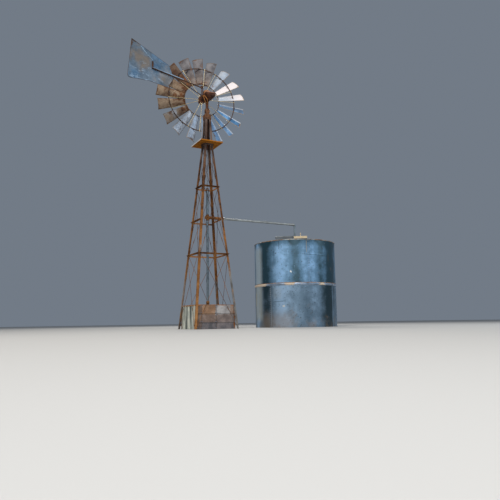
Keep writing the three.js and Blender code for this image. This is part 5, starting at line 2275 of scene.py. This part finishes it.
def addTankRings():
    low, high = bandLow.z, bandHigh.z
    base = tankRadius
    profile = [
        (base - 0.003, low + 0.001, 0), (base + 0.004, low + 0.001, 0), (base + 0.0045, low + 0.012, 0.5),
        (base + 0.008, low + 0.018, 1), (base + 0.0118, low + 0.030, 1), (base + 0.0118, low + 0.044, 1),
        (base + 0.008, low + 0.056, 1), (base + 0.0045, low + 0.060, 0.6), (base + 0.005, low + 0.066, 0.2),
        (base + 0.005, high - 0.001, 0), (base - 0.003, high - 0.001, 0),
    ]
    ringOfSections(
        "tankBand", profile, "bandZinc", ["tank_band"], 240, 0.010,
        lambda at: 0.45 if at.z > high - 0.016 else 0.02, bandTan,
    )
    low, high = rimLow.z, rimHigh.z
    profile = [
        (base - 0.003, low, 0), (base + 0.0035, low, 0), (base + 0.006, low + 0.004, 0),
        (base + 0.006, high - 0.006, 0), (base + 0.003, high - 0.001, 0), (base - 0.001, high, 0),
        (base - 0.003, high - 0.003, 0),
    ]
    ringOfSections("tankRim", profile, "rimZinc", ["tank_rim"], 200, 0.0, lambda at: 0.1, lambda angle: 0.2)
    for angle in anglesOf(tankSet["bandRivets"], 0.5):
        out = around(1, angle)
        for z in (bandLow.z + 0.008, bandHigh.z - 0.007):
            fasten("stand", "rivet", out * (base + 0.0045) + Vector((0, 0, z)), out, tankPlace)


addTankWall()
addTankRings()
print("Tank wall, band and rim made")


# Roof: a low cone of folded sheets with standing seams, open under the kerb. X and Y are the kerb's sides
hatchSet = {
    "turn": -32.5,
    "x": (-0.505, 0.350),
    "y": (-0.490, -0.090),
    "wall": 0.005,
    "flange": 0.016,
    "over": 0.018,
    "board": 0.024,
    "skin": 0.0012,
    "plate": 0.020,
    "skirt": 0.0155,
    "drop": 0.043,
    "spoutGap": 0.0303,
    "stub": (0.160, 0.012, 0.150),
}
kerbLow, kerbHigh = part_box("hatch_kerb")
hatchPlace = tankPlace @ turned(hatchSet["turn"])
spoutLow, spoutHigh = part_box("delivery_spout")
spoutPlace = hatchPlace.inverted() @ Vector((spoutHigh.x - 0.030, 0, 0))


def kerbReach(angle):
    # How far from the axis a seam starts, so that it stays outside the kerb
    (left, right), (near, far) = hatchSet["x"], hatchSet["y"]
    bearing = angle - math.radians(hatchSet["turn"])
    room = 0.03
    reach = 0.06
    for i in range(200):
        radius = 0.06 + i * 0.0055
        x, y = radius * math.cos(bearing), radius * math.sin(bearing)
        if left - room < x < right + room and near - room < y < far + room:
            reach = radius + 0.012
    return reach


def addRoof():
    given = tankSet
    edge = rimHigh.z - given["roofDrop"]
    sectors, rings = given["roofGrid"]
    radius = tankRadius * math.cos(math.pi / sectors) - given["sheet"] - 0.0008
    rise = given["roofRise"]
    form = bmesh.new()
    outer = []
    for drop in (0.0, given["roofSheet"]):
        made = []
        for ring in range(1, rings + 1):
            share = ring / rings
            row = []
            for angle in anglesOf(sectors):
                sag = given["roofSag"] * share * (1 - share) * (1 + math.sin(given["roofSeams"] * angle))
                height = edge + rise * (1 - share) - sag - drop
                row.append(form.verts.new(around(radius * share, angle, height)))
            made.append(row)
        apex = form.verts.new((0, 0, edge + rise - drop))
        for i in range(sectors):
            j = (i + 1) % sectors
            form.faces.new((apex, made[0][i], made[0][j]))
            for below, above in zip(made, made[1:]):
                form.faces.new((below[i], above[i], above[j], below[j]))
        outer.append(made[-1])
    for i in range(sectors):
        j = (i + 1) % sectors
        form.faces.new((outer[0][i], outer[1][i], outer[1][j], outer[0][j]))
    form.transform(tankPlace)
    bmesh.ops.recalc_face_normals(form, faces=form.faces)
    sheet = addObject("tankRoof", meshOf(form, "tankRoof"))
    # Opening under the kerb
    (left, right), (near, far) = hatchSet["x"], hatchSet["y"]
    cutter = bmesh.new()
    boxInto(cutter, (left - 0.001, near - 0.001, 2.2), (right + 0.001, far + 0.001, 2.7), hatchPlace)
    opening = addObject("roofCutter", meshOf(cutter, "roofCutter"))
    hole = sheet.modifiers.new("hole", "BOOLEAN")
    hole.operation = "DIFFERENCE"
    hole.object = opening
    hole.solver = "EXACT"
    cut = evaluated(sheet)
    for item in (opening, sheet):
        bpy.data.objects.remove(item)
    addPiece("tankRoof", cut, "roofZinc", "stand", ["tank_roof"], 30)
    pointValue(cut, "edge", [0.0] * len(cut.vertices))

    seams = bmesh.new()
    section = ((-0.009, -0.004), (0.009, -0.004), (0.004, 0.012), (-0.004, 0.012))
    for angle in anglesOf(given["roofSeams"], 0.25):
        start = kerbReach(angle)
        turn = Matrix.Rotation(angle, 4, "Z")
        ends = [(r, edge + rise * (1 - r / radius)) for r in (start, radius - 0.03)]
        loftInto(seams, [[turn @ Vector((r, y, z + lift)) for y, lift in section] for r, z in ends])
        for step in range(int((radius - start) / given["seamStep"])):
            r = start + 0.05 + step * given["seamStep"]
            z = edge + rise * (1 - r / radius) - 0.001
            for side in (-0.03, 0.03):
                facing = turn.to_3x3() @ Vector((rise / radius, 0, 1))
                fasten("stand", "rivet", tankPlace @ (turn @ Vector((r, side, z))), facing)
    piece = makePiece(seams, "roofSeams", "roofZinc", "stand", place=tankPlace)
    pointValue(piece.data, "edge", [0.1] * len(piece.data.vertices))


def addKerb():
    given = hatchSet
    (left, right), (near, far) = given["x"], given["y"]
    low, high = kerbLow.z, kerbHigh.z
    wall, flange = given["wall"], given["flange"]
    profile = [
        (0, low), (0, high - 0.030), (0.0015, high - 0.026), (0.0015, high), (-wall - flange, high),
        (-wall - flange, high - 0.003), (-wall, high - 0.003), (-wall, low),
    ]
    rings = []
    for out, z in profile:
        rings.append([
            (left - out, near - out, z), (right + out, near - out, z),
            (right + out, far + out, z), (left - out, far + out, z),
        ])
    form = bmesh.new()
    loftInto(form, rings, closed=True)
    soften(form, 0.0008, 1)
    makePiece(form, "hatchKerb", "slateZinc", "stand", ["hatch_kerb"], place=hatchPlace)
    for i in range(9):
        x = left + 0.04 + i * (right - left - 0.08) / 8
        for y, way in ((near, -1), (far, 1)):
            fasten("stand", "rivet", (x, y, high - 0.075), (0, way, 0), hatchPlace)


def addCovers():
    given = hatchSet
    (left, right), (near, far) = given["x"], given["y"]
    over, skin = given["over"], given["skin"]
    low, high = near - over, far + over
    seat = kerbHigh.z + 0.0003
    split = spoutPlace.x - given["spoutGap"]
    # The left cover: boards under a zinc skin that is folded down over their edges
    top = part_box("hatch_cover_left")[1].z
    fold = top - seat - 0.001
    start, end = left - over, split - 0.0003
    form = bmesh.new()
    count = 3
    step = (high - low) / count
    for i in range(count):
        y = low + i * step + 0.002
        boxInto(form, (start + 0.003, y, seat), (end - 0.001, y + step - 0.004, seat + given["board"]))
    soften(form, 0.002)
    for x in (start + 0.06, end - 0.06):
        crest = seat + given["board"]
        boxInto(form, (x - 0.022, low + 0.006, crest), (x + 0.022, high - 0.006, top - skin))
    form.transform(hatchPlace)
    makePiece(form, "coverLeftBoards", "coverBrown", "stand", ["hatch_cover_left"])
    form = bmesh.new()
    boxInto(form, (start, low, top - skin), (end, high, top))
    for y in (low, high - skin):
        boxInto(form, (start, y, top - fold), (end, y + skin, top - skin))
    for x in (start, end - skin):
        boxInto(form, (x, low, top - fold), (x + skin, high, top - skin))
    makePiece(form, "coverLeftSkin", "slateZinc", "stand", place=hatchPlace)

    # The right cover: pale boards with a skirt on three sides, let in round the spout
    start, end = split, right + over
    plate, skirt, drop = given["plate"], given["skirt"], given["drop"]
    step = (end - start) / count
    gap = given["spoutGap"]
    notch = (spoutPlace.x + gap, spoutPlace.y - gap, spoutPlace.y + gap)
    first = start + step - 0.001
    outline = [
        (start, low), (first, low), (first, high), (start, high),
        (start, notch[2]), (notch[0], notch[2]), (notch[0], notch[1]), (start, notch[1]),
    ]
    form = bmesh.new()
    loftInto(form, [[(x, y, z) for x, y in outline] for z in (seat, seat + plate)])
    for i in range(1, count):
        x = start + i * step + 0.001
        far = start + (i + 1) * step - 0.001 * (i < count - 1)
        boxInto(form, (x, low, seat), (far, high, seat + plate))
    for y in (low, high - skirt):
        boxInto(form, (start, y, seat - drop), (end, y + skirt, seat - 0.0005))
    near, far = low + skirt + 0.0005, high - skirt - 0.0005
    boxInto(form, (end - skirt, near, seat - drop), (end, far, seat - 0.0005))
    soften(form, 0.0025)
    makePiece(form, "coverRight", "coverPale", "stand", ["hatch_cover_right"], place=hatchPlace)
    reach, radius, rise = given["stub"]
    stand = hatchPlace @ Matrix.Translation((spoutPlace.x + reach, spoutPlace.y, seat))
    form = bmesh.new()
    turnInto(form, [
        (0, 0.002), (radius, 0.002), (radius, rise - 0.020), (radius + 0.003, rise - 0.018),
        (radius + 0.003, rise - 0.002), (radius, rise), (0, rise),
    ], 20, stand)
    collar = [(radius, plate), (0.030, plate), (0.028, plate + 0.005), (radius, plate + 0.008)]
    turnInto(form, collar, 20, stand, closed=True)
    makePiece(form, "coverStub", "stubSteel", "stand")
    for x in (start + 0.03, end - 0.03):
        for y in (low + 0.05, high - 0.05):
            fasten("stand", "rivet", (x, y, seat + plate), (0, 0, 1), hatchPlace)


addRoof()
addKerb()
addCovers()
frame["nodes"]["tank_floor"].data.materials.clear()
frame["nodes"]["tank_floor"].data.materials.append(materials["roofZinc"])
print("Roof, kerb and covers made")

addFasteners()
